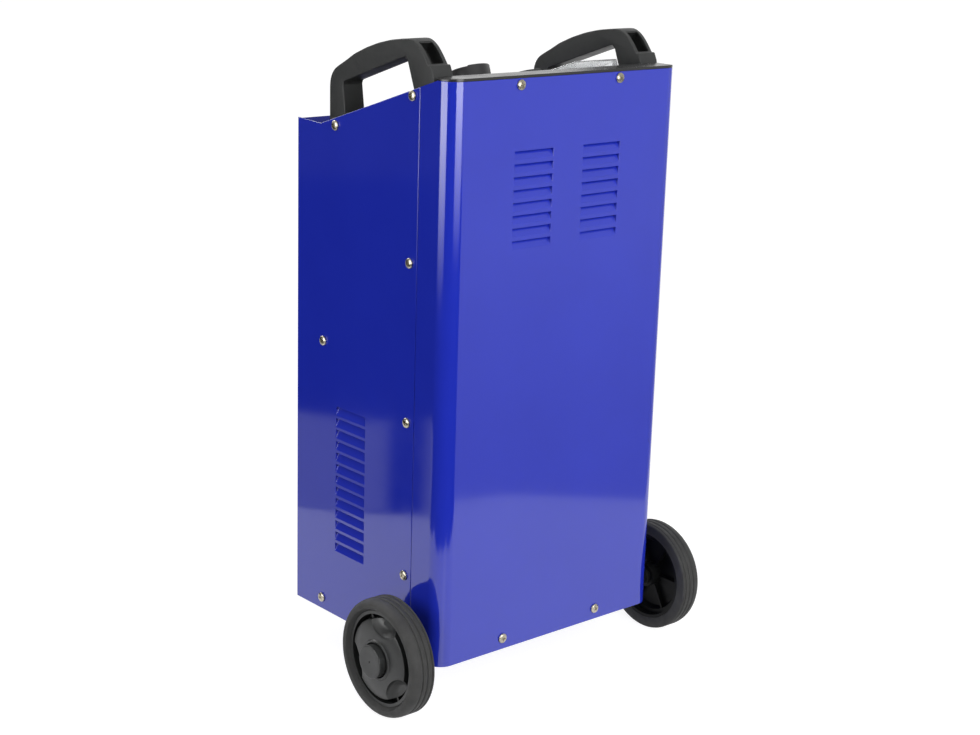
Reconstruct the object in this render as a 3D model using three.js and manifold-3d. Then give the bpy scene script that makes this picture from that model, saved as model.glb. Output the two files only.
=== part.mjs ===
// Trolley battery charger: a tall sheet-steel cabinet on two wheels, with a sloping control panel
// and two hand grips on top. Millimetres, +Z up, the front faces -Y, and left is +X, as seen from
// behind. The origin is on the floor, under the middle of the whole object.
import * as THREE from 'three';
import { mergeVertices } from 'three/addons/utils/BufferGeometryUtils.js';
import Module from 'manifold-3d';

const wasm = await Module();
wasm.setup();

// ---- Driving dimensions -------------------------------------------------------------------

// General fits
const gap = 0.3; // between pieces that touch
const runningGap = 0.4; // between a moving piece and what surrounds it
const bite = 1; // how far solids run into or past each other where they are joined or cut

// Cabinet
const cabinetWidth = 310;
const cabinetDepth = 250;
const rearHeight = 600;
const slopeRise = 63.4; // sloping panel, from the valley behind the front lip to the ledge
const lipDrop = 1.4; // front edge down to the valley
const lipDepth = 40.7; // front face to valley
const ledgeDepth = 20; // level stretch behind the slope
const cornerRadius = 18; // upright rear corners
const sheet = 1.2; // cover sheets
const seamFromRear = 46.7; // side cover meets rear cover
const floorClearance = 48.9; // floor to cabinet bottom

// Flanges inside the covers
const frontFlangeDepth = 61;
const rearFlangeReach = 20; // past the seam, under the side cover
const flangeBelowLip = 4; // flanges stop below the control panel's side lips
const joggle = 1.8; // length of the step from rear cover to its flange
const lipBend = 3; // bend radius at the front panel's top

// Floor pan
const panSheet = 1.5;
const panFlangeHeight = 28;
const panCornerSetback = 30; // rear flange stops short of the rounded corners
const panFlangeRearSetback = 22;

// Control panel
const panelSheet = 2;
const panelBelowEdge = 1.2; // panel surface below the side covers' top edges
const panelLipHeight = 20; // turned down inside the side covers
const panelLipRearSetback = 22;
const panelTongue = 13; // tucked under the front lip
const lipBelowEdge = 0.6; // front lip below the side covers' top edges
const ledgeEdge = 2.6; // rear face of the ledge that caps the rear cover
const ledgeCrown = 2.8; // the ledge's height at its front
const ledgeEndEdge = 1.4; // and at its side faces
const ledgeEndRun = 12; // where its ends taper off
const riserThickness = 3.5; // from panel up to ledge
const rearTabDepth = 1.3;
const rearTabHeight = 18;
const rearTabSetback = 20; // tab ends short of the side faces

// Side louvres: rows pressed inwards, slot at the top
const sideLouvreCount = 13;
const sideLouvreLength = 51;
const sideLouvreFromFront = 71.5; // front face to the louvre's near end
const sideLouvreTop = 239;
const sideLouvreHeight = 9.5;
const louvrePitch = 12.83;
const louvreDepth = 5;
const louvreRelief = 0.2; // pressed edge below the slot

// Rear louvres: two columns
const rearLouvreCount = 8;
const rearLouvreLength = 51.5;
const rearLouvreSpacing = 92.4; // between the two columns' middles
const rearLouvreBelowTop = 71.2;
const rearLouvreHeight = 8.6;

// Cover screws, pan head
const screwHeadRadius = 5.2;
const screwHeadHeight = 2.9;
const screwShoulderHeight = 1.6;
const screwShoulderRadius = 4.6;
const screwShankRadius = 2.2;
const screwLength = 9;
const seamScrewInset = 10.9; // ahead of the seam
const seamScrewBottom = 86.1;
const seamScrewBelowEdge = 5.7; // the top one, below the sloping edge
const seamScrewRows = 4;
const frontScrewInset = 48; // behind the front face
const midScrewHeight = 306.4;
const footScrewHeight = 13.6;
const topScrewInset = 66.8; // behind the front face
const topScrewBelowEdge = 7.9;
const rearScrewSpacing = 134.4;
const rearScrewBelowTop = 6.3;
const rearScrewBottom = 12.8;

// Wheels
const wheelRadius = 62.5;
const wheelWidth = 25.3;
const wheelStandoff = 25.7; // cabinet side to wheel
const axleFromRear = 33.9;
const axleRadius = 6;
const tyreThickness = 12;
const tyreInnerShoulder = 1.5;
// The tyre's wide outer shoulder: [inwards from the side, below the tread]
const tyreOuterShoulder = [[10, 0], [6, 0.8], [2.5, 2.3], [0, 4.5]];
const treadGrooves = 3;
const treadGrooveWidth = 1.8;
const treadGrooveDepth = 1.3;
const treadGroovePitch = 5.5;
const treadGrooveInset = 11.5; // outer groove, inwards from the tyre's outer side
const rimWall = 3.7;
const rimInset = 1.6; // rim edge inside the tyre's side
const webThickness = 3;
const webOffset = 2; // web's inner face, outwards of the wheel's middle
const wheelHubRadius = 13;
const rimRibs = 6;
const rimRibThickness = 2.5;
const rimRibDepth = 9;
const dishEdgeSetback = 1.5; // dish edge inside the rim's wall
const dishEdgeRise = 4; // dish above the web at its edge
const dishCentreRise = 8; // dish above the web at its middle
const scallops = 3;
const scallopRadius = 16; // at the web
const scallopTopRadius = 25.5; // at the dish's middle height
const scallopSetback = 12.5; // scallop centre inside the tyre's tread
const scallopTurn = 70; // degrees from +Y towards +Z
const collarWidth = 2.5; // ring round the cap's groove
const collarRise = 2.2;
const capRadius = 18.6;
const capWall = 2.5;
const capProud = 12; // beyond the tyre's side
const capGroove = 2.9; // ring groove outside the cap
const capSeatDepth = 5; // groove floor below the dish
const capRounding = 1.5;
const spacerWall = 3.5;
const axleEnd = 14; // beyond the wheel's middle plane

// Front feet
const footSpacing = 100;
const footFromFront = 27;
const footFlangeRadius = 20;
const footFlangeThickness = 3;
const footTopRadius = 15;
const footBottomRadius = 12;
const footPadRadius = 14;
const footPadThickness = 7;
const footPadRounding = 1;

// Hand grips
const gripWidth = 25;
const gripFromSide = 2.5; // outer face inboard of the cabinet side
const gripRounding = 2.6;
const pocketWidth = 18.5;
const pocketDepth = 8;
const pocketLength = 28;
const pocketLean = 22; // degrees the rear end leans forwards from square to the panel
const pocketUp = 168; // from the grip's front end, along the slope
const pocketRise = 33;
const gripUp = 12.7; // valley to the grip's front end, along the slope
const gripLength = 178.4;
const gripRise = 57.8;

// The grip's outline, as shares of its length and rise: the front leg, the long bar, the slanted
// rear end, then back along the underside.
const gripShape = [
  [0, 0], [0.0648, 0.6185], [0.0808, 0.7188], [0.1057, 0.8006], [0.1369, 0.8565],
  [0.1712, 0.8828], [0.2606, 0.9247], [0.3417, 0.975], [0.4635, 1], [0.5817, 0.9959],
  [0.6955, 0.9619], [0.802, 0.9024], [0.857, 0.8624], [0.8843, 0.8133], [0.9089, 0.7396],
  [0.9277, 0.6601], [0.9444, 0.556], [0.9569, 0.4656], [0.9684, 0.3654], [0.9728, 0.3271],
  [0.9936, 0.3094], [0.9965, 0.2456], [1, 0.167], [0.9985, 0.0982], [0.9978, 0], [0.8157, 0],
  [0.8074, 0.4508], [0.8063, 0.4878], [0.8021, 0.5146], [0.7958, 0.539], [0.7876, 0.564],
  [0.2089, 0.5478], [0.2019, 0.5353], [0.1967, 0.5204], [0.1928, 0.5044], [0.1901, 0.4952],
  [0.1602, 0],
];

// Selector and timer, on the control panel. "Up" is measured along the slope from the valley
const shaftRadius = 3;
const shaftReach = 12;
const knobSkirtHeight = 7;
const knobRounding = 1.5;
const knobStep = 1; // lower side of the knob's top
const knobStepFromMiddle = 2;
const chargeKnobX = 58;
const chargeKnobUp = 136;
const chargeKnobRadius = 20.5;
const chargeGripRadius = 19.6;
const chargeKnobHeight = 24;
const chargeKnobTurn = 139; // degrees the higher side is turned from the left
const switchBodySide = 44;
const switchBodyDepth = 36;
const timerX = -61;
const timerUp = 86;
const timerKnobRadius = 18;
const timerGripRadius = 16.8;
const timerKnobHeight = 24.5;
const timerKnobTurn = 49;
const timerBodyRadius = 26;
const timerBodyDepth = 32;

// Rocker switches
const powerSwitchX = 58;
const powerSwitchUp = 58;
const powerOpeningLength = 30;
const powerOpeningWidth = 20;
const voltageSwitchX = -5;
const voltageSwitchUp = 96;
const voltageOpeningLength = 22;
const voltageOpeningWidth = 15;
const rockerFrame = 3; // bezel around the opening
const rockerFrameHeight = 3;
const rockerWellDepth = 10;
const rockerBodyDepth = 24;
const rockerBodyWall = 1.2;
const rockerPivotDrop = 1; // pivot below the bezel's face
const rockerTilt = 10; // degrees, each way from level

// Meter
const meterX = -72.5;
const meterFromRiser = 12.6; // upper edge to the riser under the ledge
const meterWidth = 60;
const meterHeight = 60;
const meterFlange = 3;
const meterBarrelRadius = 25.5;
const meterBarrelDepth = 30;
const meterCoverHeight = 11.4;
const meterCoverWall = 1.5;
const dialThickness = 0.8;
const needlePivotUp = 14; // above the meter's lower edge
const needleLength = 30;
const needleWidth = 1.4;
const needleThickness = 0.8;
const needleHubRadius = 3;
const needleHubHeight = 2.4;
const needleRestTurn = 45; // degrees left of straight up
const meterSegments = 32; // facets round the barrel and its hole

// Circuit breaker and lamp
const breakerX = -5;
const breakerUp = 44;
const breakerNeckHeight = 3.5;
const breakerNut = 2.6; // nut proud of the neck all round
const breakerButtonRadius = 4;
const breakerButtonProud = 3;
const breakerBodyWidth = 18;
const breakerBodyLength = 32;
const breakerBodyDepth = 26;
const breakerBoreDepth = 14;
const breakerBoreWall = 2;
const lampX = -5;
const lampUp = 150;
const lampRadius = 6.5;
const lampNeckRadius = 4.5;
const lampDepth = 14;

// Cable glands in the front panel
const mainsGlandX = 0;
const mainsGlandHeight = 62;
const mainsBoreRadius = 5;
const leadGlandSpacing = 140;
const leadGlandHeight = 130;
const leadBoreRadius = 7;
const glandWall = 3.2;
const glandNut = 4; // nut proud of the thread all round
const glandNutThickness = 7;
const glandCollar = 1; // nose thicker than the thread
const glandNoseLength = 6.6;
const glandNoseLip = 1.5;
const glandReach = 22; // in front of the panel
const glandTail = 12; // behind the panel

// Transformer and rectifier on the floor pan
const coreWidth = 150;
const coreHeight = 125;
const coreStack = 80;
const coreLeg = 25; // outer legs and yokes
const coreCentreLeg = 50;
const coreFromFront = 125;
const windingBuild = 22;
const windingRounding = 8;
const rectifierWidth = 150;
const rectifierHeight = 120;
const rectifierThickness = 3;
const rectifierFoot = 32;
const rectifierFromFront = 36;
const diodeRadius = 12;
const diodeHeight = 9;
const diodeSpacing = 49.6;
const diodeUp = 72;

// ---- Materials ----------------------------------------------------------------------------

const finish = (color, roughness, metalness) =>
  new THREE.MeshStandardMaterial({ color, roughness, metalness, flatShading: true });
const bluePaint = finish(0x2b30ad, 0.3, 0.1);
const blackPaint = finish(0x2a2b2c, 0.5, 0.1);
const blackPlastic = finish(0x303233, 0.6, 0);
const tyreRubber = finish(0x2e2f2f, 0.8, 0);
const zinc = finish(0xcfc9bb, 0.35, 0.9);
const steel = finish(0x8f9296, 0.4, 0.9);
const laminations = finish(0x6a6c70, 0.6, 0.7);
const copperWire = finish(0xb5652f, 0.4, 0.8);
const aluminium = finish(0xb9bcc0, 0.45, 0.9);
const dialWhite = finish(0xf1f1ec, 0.5, 0);
const needleRed = finish(0xb3211c, 0.4, 0);
const lampAmber = finish(0xd98518, 0.25, 0);
const clear = new THREE.MeshStandardMaterial({
  color: 0xe8f0f2, roughness: 0.08, metalness: 0, transparent: true, opacity: 0.35,
});

// ---- Solids -------------------------------------------------------------------------------

// Six times the volume inside a closed triangle list; negative when its faces point inwards.
function signedVolume(points, faces) {
  const a = new THREE.Vector3();
  const b = new THREE.Vector3();
  const c = new THREE.Vector3();
  let sum = 0;
  for (let i = 0; i < faces.length; i += 3) {
    a.fromArray(points, 3 * faces[i]);
    b.fromArray(points, 3 * faces[i + 1]);
    c.fromArray(points, 3 * faces[i + 2]);
    sum += a.dot(b.cross(c));
  }
  return sum;
}

// A closed three.js geometry as a solid that can be joined and cut.
function solid(geometry) {
  const bare = geometry.clone();
  bare.deleteAttribute('normal');
  bare.deleteAttribute('uv');
  const merged = mergeVertices(bare, 1e-4);
  const vertProperties = Float32Array.from(merged.attributes.position.array);
  const faces = Array.from(merged.index.array);
  const kept = [];
  for (let i = 0; i < faces.length; i += 3) {
    const [p, q, r] = faces.slice(i, i + 3);
    if (p !== q && q !== r && r !== p) kept.push(p, q, r);
  }
  if (signedVolume(vertProperties, kept) < 0) kept.reverse();
  const triVerts = Uint32Array.from(kept);
  return new wasm.Manifold(new wasm.Mesh({ numProp: 3, vertProperties, triVerts }));
}

function geometryOf(body) {
  const { vertProperties, triVerts } = body.getMesh();
  const geometry = new THREE.BufferGeometry();
  geometry.setAttribute('position', new THREE.BufferAttribute(vertProperties, 3));
  geometry.setIndex(new THREE.BufferAttribute(triVerts, 1));
  geometry.computeVertexNormals();
  return geometry;
}

const joined = (first, ...rest) => rest.reduce((all, next) => all.add(next), first);
const without = (first, ...rest) => rest.reduce((all, next) => all.subtract(next), first);
const radians = (degrees) => THREE.MathUtils.degToRad(degrees);

// A box between two limits on each axis, given in either order.
function block([x0, x1], [y0, y1], [z0, z1]) {
  const box = new THREE.BoxGeometry(Math.abs(x1 - x0), Math.abs(y1 - y0), Math.abs(z1 - z0));
  return solid(box.translate((x0 + x1) / 2, (y0 + y1) / 2, (z0 + z1) / 2));
}

const shapeOf = (points) => new THREE.Shape(points.map(([a, b]) => new THREE.Vector2(a, b)));

// An outline in the XY plane, raised from z0 to z1.
function raised(points, z0, z1) {
  const slab = new THREE.ExtrudeGeometry(shapeOf(points), { depth: z1 - z0, bevelEnabled: false });
  return solid(slab.translate(0, 0, z0));
}

// An outline in the YZ plane, run along X from the lower to the higher limit.
function acrossX(points, xa, xb, rounding = 0) {
  const x0 = Math.min(xa, xb);
  const options = { depth: Math.abs(xb - xa) - 2 * rounding, bevelEnabled: rounding > 0 };
  if (rounding > 0) {
    options.bevelThickness = rounding;
    options.bevelSize = rounding;
    options.bevelOffset = -rounding;
    options.bevelSegments = 2;
  }
  const run = new THREE.ExtrudeGeometry(shapeOf(points), options);
  const turn = new THREE.Matrix4().makeBasis(
    new THREE.Vector3(0, 1, 0),
    new THREE.Vector3(0, 0, 1),
    new THREE.Vector3(1, 0, 0),
  );
  return solid(run.applyMatrix4(turn).translate(x0 + rounding, 0, 0));
}

// An outline in the XZ plane, run along Y from the lower to the higher limit.
function alongY(points, y0, y1) {
  const run = new THREE.ExtrudeGeometry(shapeOf(points), { depth: y1 - y0, bevelEnabled: false });
  return solid(run.rotateX(Math.PI / 2).translate(0, y1, 0));
}

// A turned solid. Profile points are [distance along the axis, radius]; the axis is x, y or z.
function turned(profile, axis, segments) {
  const points = profile.map(([along, radius]) => new THREE.Vector2(radius, along));
  const lathe = new THREE.LatheGeometry(points, segments);
  if (axis === 'x') lathe.rotateZ(-Math.PI / 2);
  if (axis === 'z') lathe.rotateX(Math.PI / 2);
  return solid(lathe);
}

// A round bar from a to b along the axis.
const bar = (radius, a, b, axis, segments = 16) =>
  turned([[a, 0], [a, radius], [b, radius], [b, 0]], axis, segments);

// A tube from a to b along the axis.
const tube = (inner, outer, a, b, axis, segments = 16) =>
  turned([[a, inner], [a, outer], [b, outer], [b, inner], [a, inner]], axis, segments);

const moved = (body, x, y, z) => solid(geometryOf(body).translate(x, y, z));

// Points on an arc, degrees from the first axis towards the second, ends included.
function arc(cx, cy, radius, from, to, steps) {
  return Array.from({ length: steps + 1 }, (_, i) => {
    const angle = radians(from + ((to - from) * i) / steps);
    return [cx + radius * Math.cos(angle), cy + radius * Math.sin(angle)];
  });
}

// ---- Scene graph --------------------------------------------------------------------------

const charger = new THREE.Group();
const cabinet = new THREE.Group();
charger.add(cabinet);

function piece(parent, name, body, material) {
  const mesh = new THREE.Mesh(geometryOf(body), material);
  mesh.name = name;
  parent.add(mesh);
  return mesh;
}

const sides = [['left', 1], ['right', -1]];

// Places that more than one piece uses, in the cabinet's frame: its middle on the cabinet's floor.
const halfWidth = cabinetWidth / 2;
const frontY = -cabinetDepth / 2;
const rearY = cabinetDepth / 2;
const valleyY = frontY + lipDepth;
const ledgeY = rearY - ledgeDepth;
const seamY = rearY - seamFromRear;
const valleyHeight = rearHeight - slopeRise;
const frontHeight = valleyHeight + lipDrop;
const slope = slopeRise / (ledgeY - valleyY);
const slopeAngle = Math.atan(slope);
const slopeHeight = (y) => valleyHeight + slope * (y - valleyY);
const riserY = ledgeY - gap - riserThickness;
const meterUp = (riserY - valleyY) / Math.cos(slopeAngle) - meterFromRiser - meterHeight / 2;
const axleY = rearY - axleFromRear;
const axleZ = wheelRadius - floorClearance;
const tyreInnerRadius = wheelRadius - tyreThickness;
const flangeOuter = halfWidth - sheet - gap; // second layer, inside the covers
const flangeInner = flangeOuter - sheet;
const panHalfWidth = flangeInner - gap; // third layer
const screwHoleRadius = screwShankRadius + gap;
const panelSurfaceZ = valleyHeight - panelBelowEdge;
const underLip = panelBelowEdge + panelLipHeight + flangeBelowLip;

// ---- Screws and the holes they pass through -----------------------------------------------

const seamScrewY = seamY - seamScrewInset;
const frontScrewY = frontY + frontScrewInset;
const topScrewY = frontY + topScrewInset;
const seamScrewTop = slopeHeight(seamScrewY) - seamScrewBelowEdge;
const seamScrewPitch = (seamScrewTop - seamScrewBottom) / (seamScrewRows - 1);
const seamScrews = Array.from({ length: seamScrewRows }, (_, row) =>
  [seamScrewY, seamScrewBottom + row * seamScrewPitch]);
const sideScrews = [
  ...seamScrews,
  [frontScrewY, midScrewHeight],
  [frontScrewY, footScrewHeight],
  [topScrewY, slopeHeight(topScrewY) - topScrewBelowEdge],
];
const rearScrews = [rearScrewBottom, rearHeight - rearScrewBelowTop].flatMap((z) =>
  [-rearScrewSpacing / 2, rearScrewSpacing / 2].map((x) => [x, z]));

const holeSegments = 8;
const screwSegments = 10;
const sideHoles = (side) =>
  sideScrews.map(([y, z]) =>
    moved(bar(screwHoleRadius, -screwLength, screwLength, 'x', holeSegments), side * halfWidth, y, z));
const rearHoles = () =>
  rearScrews.map(([x, z]) =>
    moved(bar(screwHoleRadius, -screwLength, screwLength, 'y', holeSegments), x, rearY, z));

function coverScrews() {
  const screw = turned([
    [-screwLength, 0],
    [-screwLength, screwShankRadius],
    [gap, screwShankRadius],
    [gap, screwHeadRadius],
    [gap + screwShoulderHeight, screwShoulderRadius],
    [gap + screwHeadHeight, 0],
  ], 'z', screwSegments);
  const outward = new THREE.Vector3(0, 0, 1);
  const place = (name, x, y, z, direction) => {
    const mesh = piece(cabinet, name, screw, zinc);
    mesh.position.set(x, y, z);
    mesh.quaternion.setFromUnitVectors(outward, direction);
  };
  for (const [label, side] of sides) {
    sideScrews.forEach(([y, z], i) => {
      place(`side_screw_${label}_${i + 1}`, side * halfWidth, y, z, new THREE.Vector3(side, 0, 0));
    });
  }
  rearScrews.forEach(([x, z], i) => {
    place(`rear_screw_${i + 1}`, x, rearY, z, new THREE.Vector3(0, 1, 0));
  });
}

// ---- Louvres ------------------------------------------------------------------------------

// One inward louvre. Depth runs inwards from the sheet's outer face; the slot is along its top.
// Returns the pressed shell and the air inside it, as outlines in (depth, z).
function louvreOutlines(top, height) {
  const bottom = top - height;
  const lean = sheet * Math.hypot(1, height / louvreDepth);
  return {
    shell: [
      [sheet / 2, top - louvreRelief],
      [sheet / 2, bottom - lean],
      [louvreDepth + sheet, top - louvreRelief],
    ],
    air: [[-bite, top], [-bite, bottom - (bite * height) / louvreDepth], [louvreDepth, top]],
  };
}

function sideLouvres(cover, side) {
  const y0 = frontY + sideLouvreFromFront;
  const y1 = y0 + sideLouvreLength;
  let result = cover;
  for (let row = 0; row < sideLouvreCount; row += 1) {
    const { shell, air } = louvreOutlines(sideLouvreTop - row * louvrePitch, sideLouvreHeight);
    const placed = (outline, a, b) =>
      alongY(outline.map(([depth, z]) => [side * (halfWidth - depth), z]), a, b);
    result = result.add(placed(shell, y0 - sheet, y1 + sheet)).subtract(placed(air, y0, y1));
  }
  return result;
}

function rearLouvres(cover) {
  const rearTop = rearHeight - rearLouvreBelowTop;
  let result = cover;
  for (const column of [-1, 1]) {
    const middle = (column * rearLouvreSpacing) / 2;
    const x0 = middle - rearLouvreLength / 2;
    const x1 = middle + rearLouvreLength / 2;
    for (let row = 0; row < rearLouvreCount; row += 1) {
      const { shell, air } = louvreOutlines(rearTop - row * louvrePitch, rearLouvreHeight);
      const placed = (outline, a, b) => acrossX(outline.map(([d, z]) => [rearY - d, z]), a, b);
      result = result.add(placed(shell, x0 - sheet, x1 + sheet)).subtract(placed(air, x0, x1));
    }
  }
  return result;
}

// ---- Cabinet sheets -----------------------------------------------------------------------

const cornerSteps = 6;
const bendSteps = 4;

function sideCover(side) {
  const rear = seamY - gap / 2;
  const outline = [
    [frontY, 0],
    [rear, 0],
    [rear, slopeHeight(rear)],
    [valleyY, valleyHeight],
    [frontY, frontHeight],
  ];
  const plate = acrossX(outline, side * halfWidth, side * (halfWidth - sheet));
  return sideLouvres(without(plate, ...sideHoles(side)), side);
}

function rearCover() {
  const front = seamY + gap / 2;
  const flangeFront = seamY - rearFlangeReach;
  const inner = halfWidth - sheet;
  const centreX = halfWidth - cornerRadius;
  const centreY = rearY - cornerRadius;
  const wrap = raised([
    [halfWidth, front],
    ...arc(centreX, centreY, cornerRadius, 0, 90, cornerSteps),
    ...arc(-centreX, centreY, cornerRadius, 90, 180, cornerSteps),
    [-halfWidth, front],
    [-inner, front],
    ...arc(-centreX, centreY, cornerRadius - sheet, 180, 90, cornerSteps),
    ...arc(centreX, centreY, cornerRadius - sheet, 90, 0, cornerSteps),
    [inner, front],
  ], 0, rearHeight);
  const flangeTop = slopeHeight(flangeFront) - underLip;
  const stepX = halfWidth - sheet / 2;
  const flanges = sides.flatMap(([, side]) => [
    block([side * flangeOuter, side * flangeInner], [flangeFront, front + joggle], [0, flangeTop]),
    block([side * stepX, side * flangeInner], [front, front + joggle], [0, flangeTop]),
  ]);
  const aboveSlope = acrossX([
    [flangeFront, slopeHeight(flangeFront)],
    [ledgeY, rearHeight],
    [ledgeY, rearHeight + bite],
    [flangeFront, rearHeight + bite],
  ], -cabinetWidth, cabinetWidth);
  const axleHole = moved(bar(axleRadius + gap, -cabinetWidth, cabinetWidth, 'x'), 0, axleY, axleZ);
  const holes = [...sideHoles(1), ...sideHoles(-1), ...rearHoles()];
  return rearLouvres(without(joined(wrap, ...flanges), aboveSlope, axleHole, ...holes));
}

function frontPanel() {
  const lipTop = (y) => frontHeight - lipBelowEdge
    + ((valleyHeight - frontHeight) * (y - frontY)) / lipDepth;
  const lipEnd = valleyY - gap;
  const bendY = frontY + lipBend;
  const bendZ = lipTop(bendY) - lipBend;
  const bent = acrossX([
    [frontY, 0],
    ...arc(bendY, bendZ, lipBend, 180, 90, bendSteps),
    [lipEnd, lipTop(lipEnd)],
    [lipEnd, lipTop(lipEnd) - sheet],
    ...arc(bendY, bendZ, lipBend - sheet, 90, 180, bendSteps),
    [frontY + sheet, 0],
  ], -flangeOuter, flangeOuter);
  const flangeTop = valleyHeight - underLip;
  const flangeRear = frontY + frontFlangeDepth;
  const flanges = sides.map(([, side]) =>
    block([side * flangeOuter, side * flangeInner], [frontY, flangeRear], [0, flangeTop]));
  const glandHoles = glandPlaces.map(([, x, z, bore]) =>
    moved(bar(bore + glandWall + gap, -glandTail, glandTail, 'y'), x, frontY, z));
  return without(joined(bent, ...flanges), ...glandHoles, ...sideHoles(1), ...sideHoles(-1));
}

function basePan() {
  const front = frontY + sheet + gap;
  const rear = rearY - sheet - gap;
  const round = cornerRadius - sheet;
  const floor = raised([
    [-panHalfWidth, front],
    [panHalfWidth, front],
    ...arc(panHalfWidth - round, rear - round, round, 0, 90, cornerSteps),
    ...arc(-panHalfWidth + round, rear - round, round, 90, 180, cornerSteps),
  ], 0, panSheet);
  const walls = sides.map(([, side]) =>
    block(
      [side * panHalfWidth, side * (panHalfWidth - panSheet)],
      [front, rear - panFlangeRearSetback],
      [0, panFlangeHeight],
    ));
  const rearWallX = panHalfWidth - panCornerSetback;
  const rearWall = block([-rearWallX, rearWallX], [rear - panSheet, rear], [0, panFlangeHeight]);
  const axleHole = moved(bar(axleRadius + gap, -cabinetWidth, cabinetWidth, 'x'), 0, axleY, axleZ);
  const holes = [...sideHoles(1), ...sideHoles(-1), ...rearHoles()];
  return without(joined(floor, rearWall, ...walls), axleHole, ...holes);
}

// The control panel is one bent sheet: a tongue under the front lip, the slope, and a raised
// ledge that caps the rear cover and follows its rounded corners.
function controlPanel() {
  const surface = (y) => panelSurfaceZ + slope * (y - valleyY);
  const drop = panelSheet / Math.cos(slopeAngle);
  const tongueTop = valleyHeight - lipBelowEdge - sheet - gap;
  const kneeY = valleyY + 2 * panelSheet;
  const ledgeBottom = rearHeight + gap;
  const ledgeTop = ledgeBottom + ledgeCrown;
  const bent = acrossX([
    [valleyY - panelTongue, tongueTop - panelSheet],
    [valleyY, tongueTop - panelSheet],
    [kneeY, surface(kneeY) - drop],
    [riserY, surface(riserY) - drop],
    [ledgeY - gap, surface(riserY) - drop],
    [ledgeY - gap, ledgeBottom + ledgeEndEdge],
    [riserY, ledgeBottom + ledgeEndEdge],
    [riserY, surface(riserY)],
    [valleyY, surface(valleyY)],
    [valleyY, tongueTop],
    [valleyY - panelTongue, tongueTop],
  ], -flangeOuter, flangeOuter);
  const centreX = halfWidth - cornerRadius;
  const centreY = rearY - cornerRadius;
  const plan = raised([
    [halfWidth, ledgeY],
    ...arc(centreX, centreY, cornerRadius, 0, 90, cornerSteps),
    ...arc(-centreX, centreY, cornerRadius, 90, 180, cornerSteps),
    [-halfWidth, ledgeY],
    [-flangeOuter + bite, riserY + bite],
    [flangeOuter - bite, riserY + bite],
  ], ledgeBottom, ledgeTop);
  const crown = acrossX([
    [riserY, ledgeBottom - bite],
    [rearY + bite, ledgeBottom - bite],
    [rearY + bite, ledgeBottom + ledgeEdge],
    [rearY, ledgeBottom + ledgeEdge],
    [ledgeY, ledgeTop + gap],
    [riserY, ledgeTop + gap],
  ], -cabinetWidth, cabinetWidth);
  const taper = alongY([
    [-halfWidth - bite, ledgeBottom - bite],
    [halfWidth + bite, ledgeBottom - bite],
    [halfWidth + bite, ledgeBottom + ledgeEndEdge],
    [halfWidth, ledgeBottom + ledgeEndEdge],
    [halfWidth - ledgeEndRun, ledgeTop + gap],
    [-halfWidth + ledgeEndRun, ledgeTop + gap],
    [-halfWidth, ledgeBottom + ledgeEndEdge],
    [-halfWidth - bite, ledgeBottom + ledgeEndEdge],
  ], riserY - bite, rearY + bite);
  const ledge = plan.intersect(crown).intersect(taper);
  const lips = sides.map(([, side]) => {
    const rear = rearY - panelLipRearSetback;
    return acrossX([
      [valleyY, surface(valleyY) - bite],
      [valleyY, surface(valleyY) - panelLipHeight],
      [rear, surface(rear) - panelLipHeight],
      [rear, surface(rear) - bite],
    ], side * flangeOuter, side * flangeInner);
  });
  const tabX = halfWidth - rearTabSetback;
  const tabY = rearY - sheet - gap;
  const tabZ = [ledgeBottom - rearTabHeight, ledgeBottom + bite];
  const tab = block([-tabX, tabX], [tabY - rearTabDepth, tabY], tabZ);
  const body = joined(bent, ledge, tab, ...lips);
  return without(body, ...panelCutouts(), ...sideHoles(1), ...sideHoles(-1), ...rearHoles());
}

// A solid given in the control panel's own frame, moved into the cabinet's.
function tilted(body) {
  const geometry = geometryOf(body);
  return solid(geometry.rotateX(slopeAngle).translate(0, valleyY, panelSurfaceZ));
}

const roundSegments = 16;

function panelCutouts() {
  const through = 2 * panelSheet + bite;
  const round = (x, up, radius, segments = roundSegments) =>
    tilted(moved(bar(radius, -through, through, 'z', segments), x, up, 0));
  const oblong = (x, up, length, width) =>
    tilted(block(
      [x - length / 2, x + length / 2],
      [up - width / 2, up + width / 2],
      [-through, through],
    ));
  const body = 2 * (rockerBodyWall + gap);
  return [
    round(chargeKnobX, chargeKnobUp, shaftRadius + runningGap),
    round(timerX, timerUp, shaftRadius + runningGap),
    round(meterX, meterUp, meterBarrelRadius + gap, meterSegments),
    round(breakerX, breakerUp, breakerButtonRadius + 2 * runningGap + breakerBoreWall),
    round(lampX, lampUp, lampNeckRadius + gap),
    oblong(powerSwitchX, powerSwitchUp, powerOpeningLength + body, powerOpeningWidth + body),
    oblong(voltageSwitchX, voltageSwitchUp, voltageOpeningLength + body, voltageOpeningWidth + body),
  ];
}

// ---- Hand grips ---------------------------------------------------------------------------

const gripX = halfWidth - gripFromSide - gripWidth / 2;

// The grip is a bow: two legs on the sloping panel, a long bar and a slanted rear end with a
// pocket. Its outline lies in the control panel's own frame.
function handGrip(side) {
  const outline = gripShape.map(([along, up]) =>
    [gripUp + along * gripLength, Math.max(up * gripRise, gap)]);
  const inner = side * (gripX - gripWidth / 2);
  const outer = side * (gripX + gripWidth / 2);
  const bow = acrossX(outline, inner, outer, gripRounding);
  const pocket = new THREE.BoxGeometry(pocketWidth, 2 * pocketDepth, pocketLength);
  pocket.rotateX(radians(pocketLean)).translate(side * gripX, gripUp + pocketUp, pocketRise);
  return tilted(bow.subtract(solid(pocket)));
}

// ---- Wheels -------------------------------------------------------------------------------

const wheelSegments = 32;

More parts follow.
